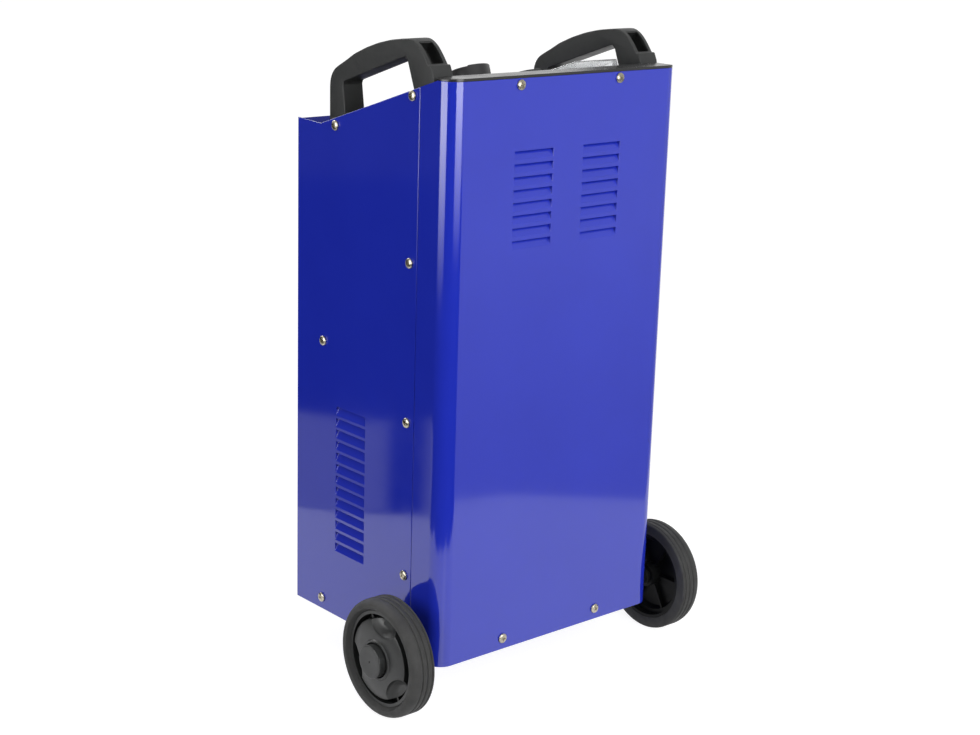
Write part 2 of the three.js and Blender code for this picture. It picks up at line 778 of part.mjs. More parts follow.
function tyre() {
  const half = wheelWidth / 2;
  const grooves = Array.from({ length: treadGrooves }, (_, i) => {
    const middle = half - treadGrooveInset - (treadGrooves - 1 - i) * treadGroovePitch;
    const floor = wheelRadius - treadGrooveDepth;
    return [
      [middle - treadGrooveWidth / 2, wheelRadius],
      [middle - treadGrooveWidth / 4, floor],
      [middle + treadGrooveWidth / 4, floor],
      [middle + treadGrooveWidth / 2, wheelRadius],
    ];
  }).flat();
  return turned([
    [-half, tyreInnerRadius],
    [-half, wheelRadius - tyreInnerShoulder],
    [-half + tyreInnerShoulder, wheelRadius],
    ...grooves,
    ...tyreOuterShoulder.map(([inwards, below]) => [half - inwards, wheelRadius - below]),
    [half, tyreInnerRadius],
    [-half, tyreInnerRadius],
  ], 'x', wheelSegments);
}

// Rim, web, ribs and the scalloped dish in one moulding. +X is outwards here.
function rim() {
  const half = wheelWidth / 2;
  const outer = tyreInnerRadius - gap;
  const inner = outer - rimWall;
  const bore = axleRadius + gap;
  const edge = half - rimInset;
  const webOuter = webOffset + webThickness;
  const centreFace = webOuter + dishCentreRise;
  const seat = centreFace - capSeatDepth;
  const dishEdge = inner - dishEdgeSetback;
  const scallopCentre = wheelRadius - scallopSetback;
  const collar = capRadius + capGroove;
  const shell = turned([
    [-half, bore],
    [-half, wheelHubRadius],
    [webOffset, wheelHubRadius],
    [webOffset, inner],
    [-edge, inner],
    [-edge, outer],
    [edge, outer],
    [edge, inner],
    [webOuter, inner],
    [webOuter, bore],
    [-half, bore],
  ], 'x', wheelSegments);
  const ribs = Array.from({ length: rimRibs }, (_, i) => {
    const rib = new THREE.BoxGeometry(rimRibDepth + bite, inner - wheelHubRadius + 2 * bite, rimRibThickness);
    rib.translate(webOffset + (bite - rimRibDepth) / 2, (inner + wheelHubRadius) / 2, 0);
    return solid(rib.rotateX((i * 2 * Math.PI) / rimRibs));
  });
  const dome = turned([
    [webOffset + bite, bore],
    [centreFace, bore],
    [centreFace, capRadius - capWall - gap],
    [seat, capRadius - capWall - gap],
    [seat, collar],
    [centreFace + collarRise, collar],
    [centreFace + collarRise, collar + collarWidth],
    [centreFace, collar + collarWidth],
    [webOuter + dishEdgeRise, dishEdge],
    [webOffset + bite, dishEdge],
    [webOffset + bite, bore],
  ], 'x', wheelSegments);
  const hollows = Array.from({ length: scallops }, (_, i) => {
    const angle = radians(scallopTurn + (i * 360) / scallops);
    const hollow = turned([
      [webOuter, 0],
      [webOuter, scallopRadius],
      [centreFace, scallopTopRadius],
      [centreFace + collarRise + bite, scallopTopRadius],
      [centreFace + collarRise + bite, 0],
    ], 'x', 20);
    return moved(hollow, 0, scallopCentre * Math.cos(angle), scallopCentre * Math.sin(angle));
  });
  return joined(shell, without(dome, ...hollows), ...ribs);
}

function hubCap() {
  const seat = webOffset + webThickness + dishCentreRise - capSeatDepth + gap;
  const face = wheelWidth / 2 + capProud;
  return turned([
    [seat, capRadius - capWall],
    [seat, capRadius],
    [face - capRounding, capRadius],
    [face, capRadius - capRounding],
    [face, 0],
    [face - capWall, 0],
    [face - capWall, capRadius - capWall],
    [seat, capRadius - capWall],
  ], 'x', wheelSegments);
}

const wheelX = halfWidth + wheelStandoff + wheelWidth / 2;

function wheels() {
  for (const [label, side] of sides) {
    const wheel = new THREE.Group();
    wheel.position.set(side * wheelX, axleY, axleZ);
    wheel.rotation.z = side > 0 ? 0 : Math.PI;
    cabinet.add(wheel);
    piece(wheel, `tyre_${label}`, tyre(), tyreRubber);
    piece(wheel, `wheel_rim_${label}`, rim(), blackPlastic);
    piece(wheel, `hub_cap_${label}`, hubCap(), blackPlastic);
    const spacer = piece(
      cabinet,
      `wheel_spacer_${label}`,
      tube(axleRadius + gap, axleRadius + gap + spacerWall, gap, wheelStandoff - gap, 'x'),
      blackPlastic,
    );
    spacer.position.set(side * halfWidth, axleY, axleZ);
    spacer.rotation.z = side > 0 ? 0 : Math.PI;
  }
  const axle = piece(cabinet, 'axle', bar(axleRadius, -wheelX - axleEnd, wheelX + axleEnd, 'x'), steel);
  axle.position.set(0, axleY, axleZ);
}

// ---- Front feet ---------------------------------------------------------------------------

function feet() {
  const padTop = -floorClearance + footPadThickness;
  const post = turned([
    [padTop + gap, 0],
    [padTop + gap, footBottomRadius],
    [-footFlangeThickness - gap, footTopRadius],
    [-footFlangeThickness - gap, footFlangeRadius],
    [-gap, footFlangeRadius],
    [-gap, 0],
  ], 'z', 16);
  const pad = turned([
    [-floorClearance, 0],
    [-floorClearance, footPadRadius - footPadRounding],
    [-floorClearance + footPadRounding, footPadRadius],
    [padTop, footPadRadius],
    [padTop, 0],
  ], 'z', 16);
  for (const [label, side] of sides) {
    const x = (side * footSpacing) / 2;
    const y = frontY + footFromFront;
    piece(cabinet, `front_foot_${label}`, post, blackPlastic).position.set(x, y, 0);
    piece(cabinet, `foot_pad_${label}`, pad, tyreRubber).position.set(x, y, 0);
  }
}

// ---- Controls, in the control panel's own frame: Y up the slope, Z out of the panel --------

const panel = new THREE.Group();
panel.position.set(0, valleyY, panelSurfaceZ);
panel.rotation.x = slopeAngle;
cabinet.add(panel);

function at(name, body, material, x, up) {
  const mesh = piece(panel, name, body, material);
  mesh.position.set(x, up, 0);
  return mesh;
}

const underPanel = -panelSheet - gap;

// A knob on its shaft: a flared skirt under a straight grip, whose top steps down on one side.
function knob(skirtRadius, gripRadius, height) {
  const turnedPart = turned([
    [-shaftReach, 0],
    [-shaftReach, shaftRadius],
    [gap, shaftRadius],
    [gap, skirtRadius],
    [knobSkirtHeight / 2, skirtRadius],
    [knobSkirtHeight, gripRadius],
    [height - knobRounding, gripRadius],
    [height, gripRadius - knobRounding],
    [height, 0],
  ], 'z', 24);
  const step = block(
    [-skirtRadius, -knobStepFromMiddle],
    [-skirtRadius, skirtRadius],
    [height - knobStep, height + bite],
  );
  return turnedPart.subtract(step);
}

function rotaryControls() {
  const bore = () => bar(shaftRadius + runningGap, -shaftReach - runningGap, bite, 'z', 12);
  const half = switchBodySide / 2;
  const switchBody = block([-half, half], [-half, half], [underPanel - switchBodyDepth, underPanel]);
  at('charge_switch', without(switchBody, bore()), blackPlastic, chargeKnobX, chargeKnobUp);
  const chargeKnob = knob(chargeKnobRadius, chargeGripRadius, chargeKnobHeight);
  at('charge_knob', chargeKnob, blackPlastic, chargeKnobX, chargeKnobUp).rotation.z =
    radians(chargeKnobTurn);
  const timerBody = bar(timerBodyRadius, underPanel - timerBodyDepth, underPanel, 'z', 24);
  at('timer_body', without(timerBody, bore()), aluminium, timerX, timerUp);
  const timerKnob = knob(timerKnobRadius, timerGripRadius, timerKnobHeight);
  at('timer_knob', timerKnob, blackPlastic, timerX, timerUp).rotation.z = radians(timerKnobTurn);
}

// A rocker switch: its housing, and the rocker that tips about Y in it.
function rockerSwitch(label, x, up, length, width) {
  const halfLength = length / 2;
  const halfBody = width / 2;
  const face = gap + rockerFrameHeight;
  const frame = block(
    [-halfLength - rockerFrame, halfLength + rockerFrame],
    [-halfBody - rockerFrame, halfBody + rockerFrame],
    [gap, face],
  );
  const body = block(
    [-halfLength - rockerBodyWall, halfLength + rockerBodyWall],
    [-halfBody - rockerBodyWall, halfBody + rockerBodyWall],
    [-rockerBodyDepth, gap + bite],
  );
  const well = block(
    [-halfLength, halfLength],
    [-halfBody, halfBody],
    [face - rockerWellDepth, face + bite],
  );
  at(`${label}_switch_body`, without(joined(frame, body), well), blackPlastic, x, up);

  const reach = halfLength - runningGap;
  const topAngle = 2 * rockerTilt;
  const profile = [
    ...arc(0, 0, reach, -topAngle, topAngle, 4),
    [0, reach * (Math.sin(radians(topAngle)) - Math.sin(radians(rockerTilt)))],
    ...arc(0, 0, reach, 180 - topAngle, 180 + topAngle, 4),
  ];
  const halfRocker = halfBody - runningGap;
  const rocker = at(`${label}_rocker`, alongY(profile, -halfRocker, halfRocker), blackPlastic, x, up);
  rocker.position.z = face - rockerPivotDrop;
  rocker.rotation.y = radians(rockerTilt);
}

function meter() {
  const halfW = meterWidth / 2;
  const halfH = meterHeight / 2;
  const face = gap + meterFlange;
  const flange = block([-halfW, halfW], [-halfH, halfH], [gap, face]);
  const barrel = bar(meterBarrelRadius, -meterBarrelDepth, gap + bite, 'z', meterSegments);
  at('meter_case', joined(flange, barrel), blackPlastic, meterX, meterUp);

  const innerW = halfW - meterCoverWall;
  const innerH = halfH - meterCoverWall;
  const dialFace = face + gap + dialThickness;
  const dial = block(
    [-innerW + gap, innerW - gap],
    [-innerH + gap, innerH - gap],
    [face + gap, dialFace],
  );
  at('meter_dial', dial, dialWhite, meterX, meterUp);

  const coverTop = face + gap + meterCoverHeight;
  const shell = block([-halfW, halfW], [-halfH, halfH], [face + gap, coverTop]);
  const inside = block([-innerW, innerW], [-innerH, innerH], [face, coverTop - meterCoverWall]);
  at('meter_cover', without(shell, inside), clear, meterX, meterUp);

  const hub = bar(needleHubRadius, dialFace + gap, dialFace + gap + needleHubHeight, 'z', 12);
  const middle = dialFace + gap + needleHubHeight / 2;
  const pointer = raised([
    [-needleWidth, 0],
    [needleWidth, 0],
    [needleWidth / 4, needleLength],
    [-needleWidth / 4, needleLength],
  ], middle - needleThickness / 2, middle + needleThickness / 2);
  const pivotUp = meterUp - halfH + needlePivotUp;
  const needle = at('meter_needle', joined(hub, pointer), needleRed, meterX, pivotUp);
  needle.rotation.z = radians(needleRestTurn);
}

function breakerAndLamp() {
  const bore = breakerButtonRadius + runningGap;
  const half = breakerBodyWidth / 2;
  const housing = block(
    [-half, half],
    [-breakerBodyLength / 2, breakerBodyLength / 2],
    [underPanel - breakerBodyDepth, underPanel],
  );
  const neck = bar(bore + breakerBoreWall, underPanel - bite, gap + bite, 'z');
  const nut = bar(bore + breakerBoreWall + breakerNut, gap, breakerNeckHeight, 'z', 6);
  const hole = bar(bore, underPanel - breakerBoreDepth, breakerNeckHeight + bite, 'z');
  at('breaker_body', without(joined(housing, neck, nut), hole), blackPlastic, breakerX, breakerUp);
  const seat = underPanel - breakerBoreDepth + gap;
  const button = bar(breakerButtonRadius, seat, breakerNeckHeight + breakerButtonProud, 'z');
  at('breaker_button', button, blackPlastic, breakerX, breakerUp);
  const lens = turned([
    [-lampDepth, 0],
    [-lampDepth, lampNeckRadius],
    [gap, lampNeckRadius],
    ...arc(gap, 0, lampRadius, 90, 0, 4),
  ], 'z', 16);
  at('charge_lamp', lens, lampAmber, lampX, lampUp);
}

// ---- Cable glands -------------------------------------------------------------------------

const glandPlaces = [
  ['mains_gland', mainsGlandX, mainsGlandHeight, mainsBoreRadius],
  ['positive_lead_gland', leadGlandSpacing / 2, leadGlandHeight, leadBoreRadius],
  ['negative_lead_gland', -leadGlandSpacing / 2, leadGlandHeight, leadBoreRadius],
];

function glands() {
  for (const [name, x, z, bore] of glandPlaces) {
    const thread = bore + glandWall;
    const nut = thread + glandNut;
    const body = turned([
      [-glandTail, bore],
      [-glandTail, thread],
      [gap, thread],
      [gap, nut],
      [glandNutThickness, nut],
      [glandNutThickness, thread + glandCollar],
      [glandReach - glandNoseLength, thread + glandCollar],
      [glandReach, bore + glandNoseLip],
      [glandReach, bore],
      [-glandTail, bore],
    ], 'y', 12);
    const gland = piece(cabinet, name, body, blackPlastic);
    gland.position.set(x, frontY, z);
    gland.rotation.z = Math.PI;
  }
}

// ---- Inside -------------------------------------------------------------------------------

function transformer() {
  const floor = panSheet + gap;
  const y = frontY + coreFromFront;
  const half = coreStack / 2;
  const windowInner = coreCentreLeg / 2;
  const windowOuter = coreWidth / 2 - coreLeg;
  const windowBottom = floor + coreLeg;
  const windowTop = floor + coreHeight - coreLeg;
  const stack = block([-coreWidth / 2, coreWidth / 2], [-half, half], [floor, floor + coreHeight]);
  const windows = sides.map(([, side]) =>
    block(
      [side * windowInner, side * windowOuter],
      [-half - bite, half + bite],
      [windowBottom, windowTop],
    ));
  piece(cabinet, 'transformer_core', without(stack, ...windows), laminations).position.y = y;

  const build = Math.min(windingBuild, windowOuter - windowInner - 2 * gap);
  const halfX = windowInner + gap + build;
  const halfY = half + gap + windingBuild;
  const r = windingRounding;
  const outer = raised([
    ...arc(halfX - r, halfY - r, r, 0, 90, 3),
    ...arc(r - halfX, halfY - r, r, 90, 180, 3),
    ...arc(r - halfX, r - halfY, r, 180, 270, 3),
    ...arc(halfX - r, r - halfY, r, 270, 360, 3),
  ], windowBottom + gap, windowTop - gap);
  const leg = block(
    [-windowInner - gap, windowInner + gap],
    [-half - gap, half + gap],
    [0, floor + coreHeight],
  );
  piece(cabinet, 'transformer_winding', without(outer, leg), copperWire).position.y = y;
}

function rectifier() {
  const floor = panSheet + gap;
  const halfX = rectifierWidth / 2;
  const foot = block([-halfX, halfX], [0, rectifierFoot], [floor, floor + rectifierThickness]);
  const plate = block([-halfX, halfX], [0, rectifierThickness], [floor, floor + rectifierHeight]);
  const diodes = [-1, 0, 1].map((place) =>
    moved(
      bar(diodeRadius, rectifierThickness - bite, rectifierThickness + diodeHeight, 'y', 12),
      place * diodeSpacing,
      0,
      floor + diodeUp,
    ));
  piece(cabinet, 'rectifier_plate', joined(foot, plate, ...diodes), aluminium).position.y =
    frontY + rectifierFromFront;
}

// ---- Assembly -----------------------------------------------------------------------------

for (const [label, side] of sides) {
  piece(cabinet, `side_cover_${label}`, sideCover(side), bluePaint);
  piece(cabinet, `hand_grip_${label}`, handGrip(side), blackPlastic);
}
piece(cabinet, 'rear_cover', rearCover(), bluePaint);
piece(cabinet, 'front_panel', frontPanel(), bluePaint);
piece(cabinet, 'base_pan', basePan(), bluePaint);
piece(cabinet, 'control_panel', controlPanel(), blackPaint);
coverScrews();
wheels();
feet();
rotaryControls();
rockerSwitch('power', powerSwitchX, powerSwitchUp, powerOpeningLength, powerOpeningWidth);
rockerSwitch('voltage', voltageSwitchX, voltageSwitchUp, voltageOpeningLength, voltageOpeningWidth);
meter();
breakerAndLamp();
glands();
transformer();
rectifier();

// The cabinet's frame stands on the floor, with the whole object's middle over the origin.
const foremost = frontY - glandReach;
const rearmost = Math.max(rearY + gap + screwHeadHeight, axleY + wheelRadius);
cabinet.position.set(0, -(foremost + rearmost) / 2, floorClearance);

export default charger;
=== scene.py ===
from math import atan2, cos, dist, hypot, pi, radians, sin

import bmesh
import bpy
from mathutils import Matrix, Vector


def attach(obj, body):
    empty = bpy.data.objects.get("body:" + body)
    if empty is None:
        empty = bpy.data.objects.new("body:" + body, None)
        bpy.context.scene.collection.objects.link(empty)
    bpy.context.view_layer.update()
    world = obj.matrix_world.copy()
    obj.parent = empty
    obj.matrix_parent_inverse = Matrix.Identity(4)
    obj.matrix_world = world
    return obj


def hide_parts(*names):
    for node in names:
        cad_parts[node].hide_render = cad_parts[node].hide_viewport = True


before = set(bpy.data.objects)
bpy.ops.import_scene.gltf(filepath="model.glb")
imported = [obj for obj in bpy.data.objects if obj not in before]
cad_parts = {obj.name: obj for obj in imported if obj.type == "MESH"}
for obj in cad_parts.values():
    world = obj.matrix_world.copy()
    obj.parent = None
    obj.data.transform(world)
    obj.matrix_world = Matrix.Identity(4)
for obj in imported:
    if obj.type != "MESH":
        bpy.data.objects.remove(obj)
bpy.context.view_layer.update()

# A tall trolley battery charger. Sizes are in millimetres and go through mm() to Blender's metres.
# +Z is up, the rear faces +Y and the left side faces +X.

FLOOR = 48.9  # floor to the cabinet's bottom
SHIFT = -3.3  # the cabinet's middle, along Y
HALF_WIDTH = 155.0
FRONT = SHIFT - 125.0
REAR = SHIFT + 125.0
TOP = FLOOR + 600.0
FRONT_TOP = FLOOR + 538.0
VALLEY = SHIFT - 84.3  # the low line that the control panel slopes up from
VALLEY_TOP = FLOOR + 536.6
LEDGE = SHIFT + 105.0  # where the slope ends in the level ledge
SEAM = SHIFT + 78.3  # between the side covers and the rear cover
SHEET = 1.2
TILT = atan2(TOP - VALLEY_TOP, LEDGE - VALLEY)
AXLE_Y = SHIFT + 91.1
AXLE_Z = 62.5
BORE = 6.3  # the holes round the axle, as a radius
WHEEL_X = 193.35
SIDES = (("left", 1), ("right", -1))


def mm(*values):
    return Vector(values) * 0.001


def edge_height(y):
    """Height of the side covers' sloping top edge."""
    return VALLEY_TOP + (TOP - VALLEY_TOP) / (LEDGE - VALLEY) * (y - VALLEY)


def arc(cx, cy, radius, start, end, steps):
    """Points on an arc, degrees from the first axis towards the second, ends included."""
    turns = [radians(start + (end - start) * i / steps) for i in range(steps + 1)]
    return [(cx + radius * cos(t), cy + radius * sin(t)) for t in turns]


# ---- Making and shaping ----


def put_down():
    """Leaves nothing selected, in object mode."""
    if bpy.context.object is not None and bpy.context.object.mode != "OBJECT":
        leave_edit()
    bpy.ops.object.select_all(action="DESELECT")


def take(*pieces):
    """Leaves just these pieces selected, the first one active."""
    put_down()
    for piece in pieces:
        piece.select_set(True)
    bpy.context.view_layer.objects.active = pieces[0]


def edit(piece):
    take(piece)
    bpy.ops.object.mode_set(mode="EDIT")


def leave_edit():
    bpy.ops.object.mode_set(mode="OBJECT")


def remove(piece):
    bpy.data.objects.remove(piece)


def named(name):
    piece = bpy.context.object
    piece.name = name
    piece.data.name = name
    return piece


def pick_all():
    bpy.ops.mesh.select_all(action="SELECT")


def pick(piece, kind, test):
    """Selects, in edit mode, just the elements that pass the test."""
    bpy.ops.mesh.select_mode(type=kind)
    bpy.ops.mesh.select_all(action="DESELECT")
    shape = bmesh.from_edit_mesh(piece.data)
    for part in {"VERT": shape.verts, "EDGE": shape.edges, "FACE": shape.faces}[kind]:
        if test(part):
            part.select_set(True)
    bmesh.update_edit_mesh(piece.data)


def choose(piece, kind, test):
    """Selects, in edit mode, the elements whose points (in mm) all pass the test."""
    def corners(part):
        return [part] if kind == "VERT" else part.verts

    pick(piece, kind, lambda part: all(test(*(v.co * 1000)) for v in corners(part)))


def near(a, b, slack=0.02):
    return abs(a - b) < slack


def drawn(name, points, closed):
    """A line of edges through the points, drawn by extruding one point. Stays in edit mode."""
    put_down()
    bpy.ops.mesh.primitive_plane_add(size=0.001)
    piece = named(name)
    bpy.ops.object.mode_set(mode="EDIT")
    bpy.ops.mesh.select_mode(type="VERT")
    pick_all()
    bpy.ops.mesh.merge(type="CENTER")
    bpy.ops.transform.translate(value=mm(*points[0]))
    for here, there in zip(points, points[1:]):
        step = mm(*there) - mm(*here)
        bpy.ops.mesh.extrude_region_move(TRANSFORM_OT_translate={"value": step})
    if closed:
        pick(piece, "VERT", lambda vert: len(vert.link_edges) == 1)
        bpy.ops.mesh.edge_face_add()
    return piece


def filled(name, points):
    """A flat face inside a closed line. Stays in edit mode."""
    piece = drawn(name, points, closed=True)
    pick_all()
    bpy.ops.mesh.edge_face_add()
    return piece


def outward(piece):
    """Joins what meets, turns the faces outwards and leaves edit mode."""
    pick_all()
    bpy.ops.mesh.remove_doubles(threshold=0.000002)
    bpy.ops.mesh.normals_make_consistent(inside=False)
    leave_edit()
    return piece


def slab(name, points, low, high):
    """An outline in the XY plane, raised from low to high."""
    piece = filled(name, [(a, b, low) for a, b in points])
    lift = {"value": mm(0, 0, high - low)}
    bpy.ops.mesh.extrude_region_move(TRANSFORM_OT_translate=lift)
    return outward(piece)


def turned(name, profile, steps):
    """A turned solid about Z. Profile points are (distance along the axis, radius)."""
    ring = profile[0][1] > 0 or profile[-1][1] > 0
    piece = drawn(name, [(radius, 0, along) for along, radius in profile], closed=ring)
    pick_all()
    bpy.ops.mesh.spin(steps=steps, angle=2 * pi, center=(0, 0, 0), axis=(0, 0, 1))
    return outward(piece)


def carved(name, x, y, z):
    """A block between two limits on each axis."""
    put_down()
    middle = [(a + b) / 2 for a, b in (x, y, z)]
    size = [abs(b - a) / 1000 for a, b in (x, y, z)]
    bpy.ops.mesh.primitive_cube_add(size=1, location=mm(*middle), scale=size)
    piece = named(name)
    bpy.ops.object.transform_apply(location=True, rotation=True, scale=True)
    return piece


def modified(piece, kind, **settings):
    take(piece)
    bpy.ops.object.modifier_add(type=kind)
    modifier = piece.modifiers[-1]
    for key, value in settings.items():
        setattr(modifier, key, value)
    bpy.ops.object.modifier_apply(modifier=modifier.name)
    return piece


def rounded(piece, width, segments, angle):
    """Rounds the edges that are sharper than the angle."""
    return modified(piece, "BEVEL", width=width / 1000, segments=segments,
                    limit_method="ANGLE", angle_limit=radians(angle), miter_outer="MITER_ARC")


def softened(piece, angle=35):
    take(piece)
    bpy.ops.object.shade_smooth_by_angle(angle=radians(angle))
    return piece


def weighted(piece):
    """Keeps flat faces flat beside small roundings."""
    return modified(piece, "WEIGHTED_NORMAL", keep_sharp=True, weight=80)


def cut(piece, *tools, operation="DIFFERENCE"):
    for tool in tools:
        modified(piece, "BOOLEAN", object=tool, operation=operation, solver="EXACT")
        remove(tool)
    return piece


def fused(piece, *others):
    return cut(piece, *others, operation="UNION")


def together(name, *pieces):
    """Joins the pieces' meshes in one piece."""
    take(*pieces)
    bpy.ops.object.join()
    return named(name)


def moved(piece, matrix):
    piece.data.transform(matrix)
    piece.data.update()
    return piece


def copied(piece, name, matrix):
    """A copy with its own mesh, moved by the matrix."""
    twin = piece.copy()
    twin.data = piece.data.copy()
    twin.name = name
    twin.data.name = name
    bpy.context.scene.collection.objects.link(twin)
    return moved(twin, matrix)


def from_frame(node, name):
    """A copy of a CAD node as one merged shell, with its flat faces whole."""
    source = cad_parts[node]
    twin = source.copy()
    twin.data = source.data.copy()
    for key in list(twin.keys()):
        del twin[key]
    twin.parent = None
    twin.name = name
    twin.data.name = name
    bpy.context.scene.collection.objects.link(twin)
    take(twin)
    twin.data.materials.clear()
    if twin.data.has_custom_normals:
        bpy.ops.mesh.customdata_custom_splitnormals_clear()
    edit(twin)
    bpy.ops.mesh.select_mode(type="VERT")
    pick_all()
    bpy.ops.mesh.remove_doubles(threshold=0.000005)
    bpy.ops.mesh.dissolve_limited(angle_limit=radians(1))
    leave_edit()
    return twin


def moving(*values):
    return Matrix.Translation(mm(*values))


def turning(degrees, axis):
    return Matrix.Rotation(radians(degrees), 4, axis)


TO_X = turning(90, "Y")  # local +Z becomes +X, local +Y stays and local -X points up
TO_Y = turning(-90, "X")  # local +Z becomes +Y
# Local +X becomes +Y, +Y becomes +Z and +Z becomes +X.
UPRIGHT_X = Matrix(((0, 0, 1, 0), (1, 0, 0, 0), (0, 1, 0, 0), (0, 0, 0, 1)))
PANEL = moving(0, VALLEY, VALLEY_TOP - SHEET) @ Matrix.Rotation(TILT, 4, "X")


def on_panel(x, up, turn=0, rise=0):
    """Place on the control panel: x across, up the slope, out of the panel."""
    return PANEL @ moving(x, up, rise) @ turning(turn, "Z")


# ---- Camera, floor, cards and lamps ----

# The white floor's edge, from in front of the left side round to the rear, as the paint mirrors it.
BESIDE_EDGE = [(330, -560), (415, -455), (510, -350), (675, 30)]
CORNER_EDGE = [(520, 400), (310, 575), (-170, 610)]
REAR_EDGE = [(-170, 610), (-272, 612), (-350, 590), (-450, 498), (-900, 80)]
FAR = 15000
X, Y, Z = range(3)


def camera():
    data = bpy.data.cameras.new("camera")
    data.sensor_fit = "HORIZONTAL"
    data.sensor_width = 36
    data.lens = 67.22
    data.clip_start = 0.05
    data.clip_end = 60
    cam = bpy.data.objects.new("camera", data)
    bpy.context.scene.collection.objects.link(cam)
    across = Vector((-0.75792545, 0.65165415, 0.02993121))
    up = Vector((-0.15121551, -0.22013839, 0.96367679))
    back = Vector((0.63457299, 0.7258691, 0.2653887))
    turn = Matrix((across, up, back)).transposed().to_4x4()
    cam.matrix_world = moving(1258.80, 1452.05, 848.61) @ turn
    bpy.context.scene.camera = cam


def lamp(name, place, target, width, height, power):
    """A soft lamp, in metres, that lights the object but isn't mirrored in it."""
    data = bpy.data.lights.new(name, "AREA")
    data.shape = "RECTANGLE"
    data.size = width
    data.size_y = height
    data.energy = power
    light = bpy.data.objects.new(name, data)
    bpy.context.scene.collection.objects.link(light)
    light.location = place
    aim = Vector(target) - Vector(place)
    light.rotation_euler = aim.to_track_quat("-Z", "Y").to_euler()
    light.visible_camera = False
    light.visible_glossy = False


def shown(tree, socket, plain, bright):
    """Makes a strength bright for the camera, in reflections and through glass, else plain."""
    path = tree.nodes.new("ShaderNodeLightPath")
    total = path.outputs["Is Camera Ray"]
    for ray in ("Is Glossy Ray", "Is Transmission Ray"):
        both = tree.nodes.new("ShaderNodeMath")
        both.operation = "ADD"
        tree.links.new(total, both.inputs[0])
        tree.links.new(path.outputs[ray], both.inputs[1])
        total = both.outputs[0]
    spread = tree.nodes.new("ShaderNodeMapRange")
    tree.links.new(total, spread.inputs["Value"])
    spread.inputs["To Min"].default_value = plain
    spread.inputs["To Max"].default_value = bright
    tree.links.new(spread.outputs["Result"], socket)


def card(name, corners, near_glow, far_glow, axis=Z, start=0, end=1, power=1.0):
    """A card that only reflections see. Its glow goes from near to far along an axis, in mm."""
    piece = filled(name, corners)
    leave_edit()
    for ray in ("camera", "diffuse", "transmission", "volume_scatter", "shadow"):
        setattr(piece, "visible_" + ray, False)
    glow = Nodes(name)
    glow.set(Base_Color=(0, 0, 0, 1), Roughness=1, Specular_IOR_Level=0,
             Emission_Color=(1, 1, 1, 1))
    along = glow.add("SeparateXYZ", {"Vector": glow.place}).outputs[axis]
    share = glow.spread(along, 0, 1, (start / 1000, end / 1000))
    bend = glow.add("Math", {0: share, 1: power}, operation="POWER").outputs[0]
    glow.link(glow.spread(bend, near_glow, far_glow, (0, 1)), "Emission Strength")
    piece.data.materials.append(glow.material)


def floor_cards():
    """The dim room round the white floor, and greyer and brighter stretches near its edge."""
    meeting = (-10000, FAR)
    room = BESIDE_EDGE + CORNER_EDGE + [meeting, (FAR, FAR), (FAR, -FAR), (330, -FAR)]
    behind = [meeting] + REAR_EDGE + [(-FAR, -1500), (-FAR, FAR)]
    beside = [(330, -560), (415, -455), (485, -390), (735, -705), (665, -815), (560, -950)]
    corner = [(512, -345), (800, -695), (945, -415), (552, -225)]
    bright = [(176, 166), (359, 510), (272, 546), (165, 171)]
    for name, outline, height, *glow in (
        ("dim_room", room, 1, 0, 0),
        ("grey_floor_behind", behind, 2, 0.45, 0.72, Y, 560, 1900),
        ("grey_floor_beside", beside, 3, 0.46, 0.48, X, 400, 700),
        ("grey_floor_corner", corner, 3, 0.46, 0.48, X, 400, 900),
        ("bright_floor_corner", bright, 4, 1.4, 1.4),
    ):
        card(name, [(x, y, height) for x, y in outline], *glow)


def upright_cards():
    """The lit panels and the walls round them, as the paint, louvres and panel mirror them."""
    for name, a, b, low, high, *glow in (
        ("lit_panel_beside", (1430, -620), (1585, 480), 40, 1050, 0, 5.8, Z, 80, 410, 1.5),
        ("lit_panel_behind", (720, 1700), (-430, 1700), 60, 1050, 0, 6, Z, 120, 445, 1.3),
        ("dim_wall", (-1570, -2030), (600, -4200), 5, 2600, 0.02, 0.25, Z, 900, 2600),
        ("dark_wall_beside", (620, -3500), (3400, -1700), 5, 6000, 0.05, 0.05),
        ("grey_wall_behind", (-900, 3400), (-3300, 1200), 5, 6000, 0.72, 0.6, Z, 500, 1500),
    ):
        card(name, [(*a, low), (*a, high), (*b, high), (*b, low)], *glow)
    card("lit_panel_above", [
        (-500, -2400, 1150), (900, -2400, 1150), (900, -1700, 2500), (-500, -1700, 2500),
    ], 5, 5)


def studio():
    put_down()
    bpy.ops.mesh.primitive_plane_add(size=40, location=(0, 0, -0.0002))
    floor = named("floor")
    pale = Nodes("pale_floor")
    pale.set(Base_Color=(0.3, 0.3, 0.3, 1), Roughness=0.9, Specular_IOR_Level=0,
             Emission_Color=(1, 1, 1, 1))
    shown(pale.tree, pale.shader.inputs["Emission Strength"], 0, 0.9)
    floor.data.materials.append(pale.material)
    world = bpy.data.worlds.new("studio")
    bpy.context.scene.world = world
    world.use_nodes = True
    sky = world.node_tree.nodes["Background"]
    sky.inputs["Color"].default_value = (1, 1, 1, 1)
    shown(world.node_tree, sky.inputs["Strength"], 0.45, 1.0)
    floor_cards()
    upright_cards()
    lamp("soft_lamp_beside", (2.1, -0.25, 1.1), (0, 0, 0.35), 1.4, 1.2, 12)
    lamp("soft_lamp_behind", (0.0, 2.3, 1.2), (0, 0, 0.35), 1.6, 1.2, 38)
    bpy.context.scene.view_settings.view_transform = "Standard"


# ---- Materials ----


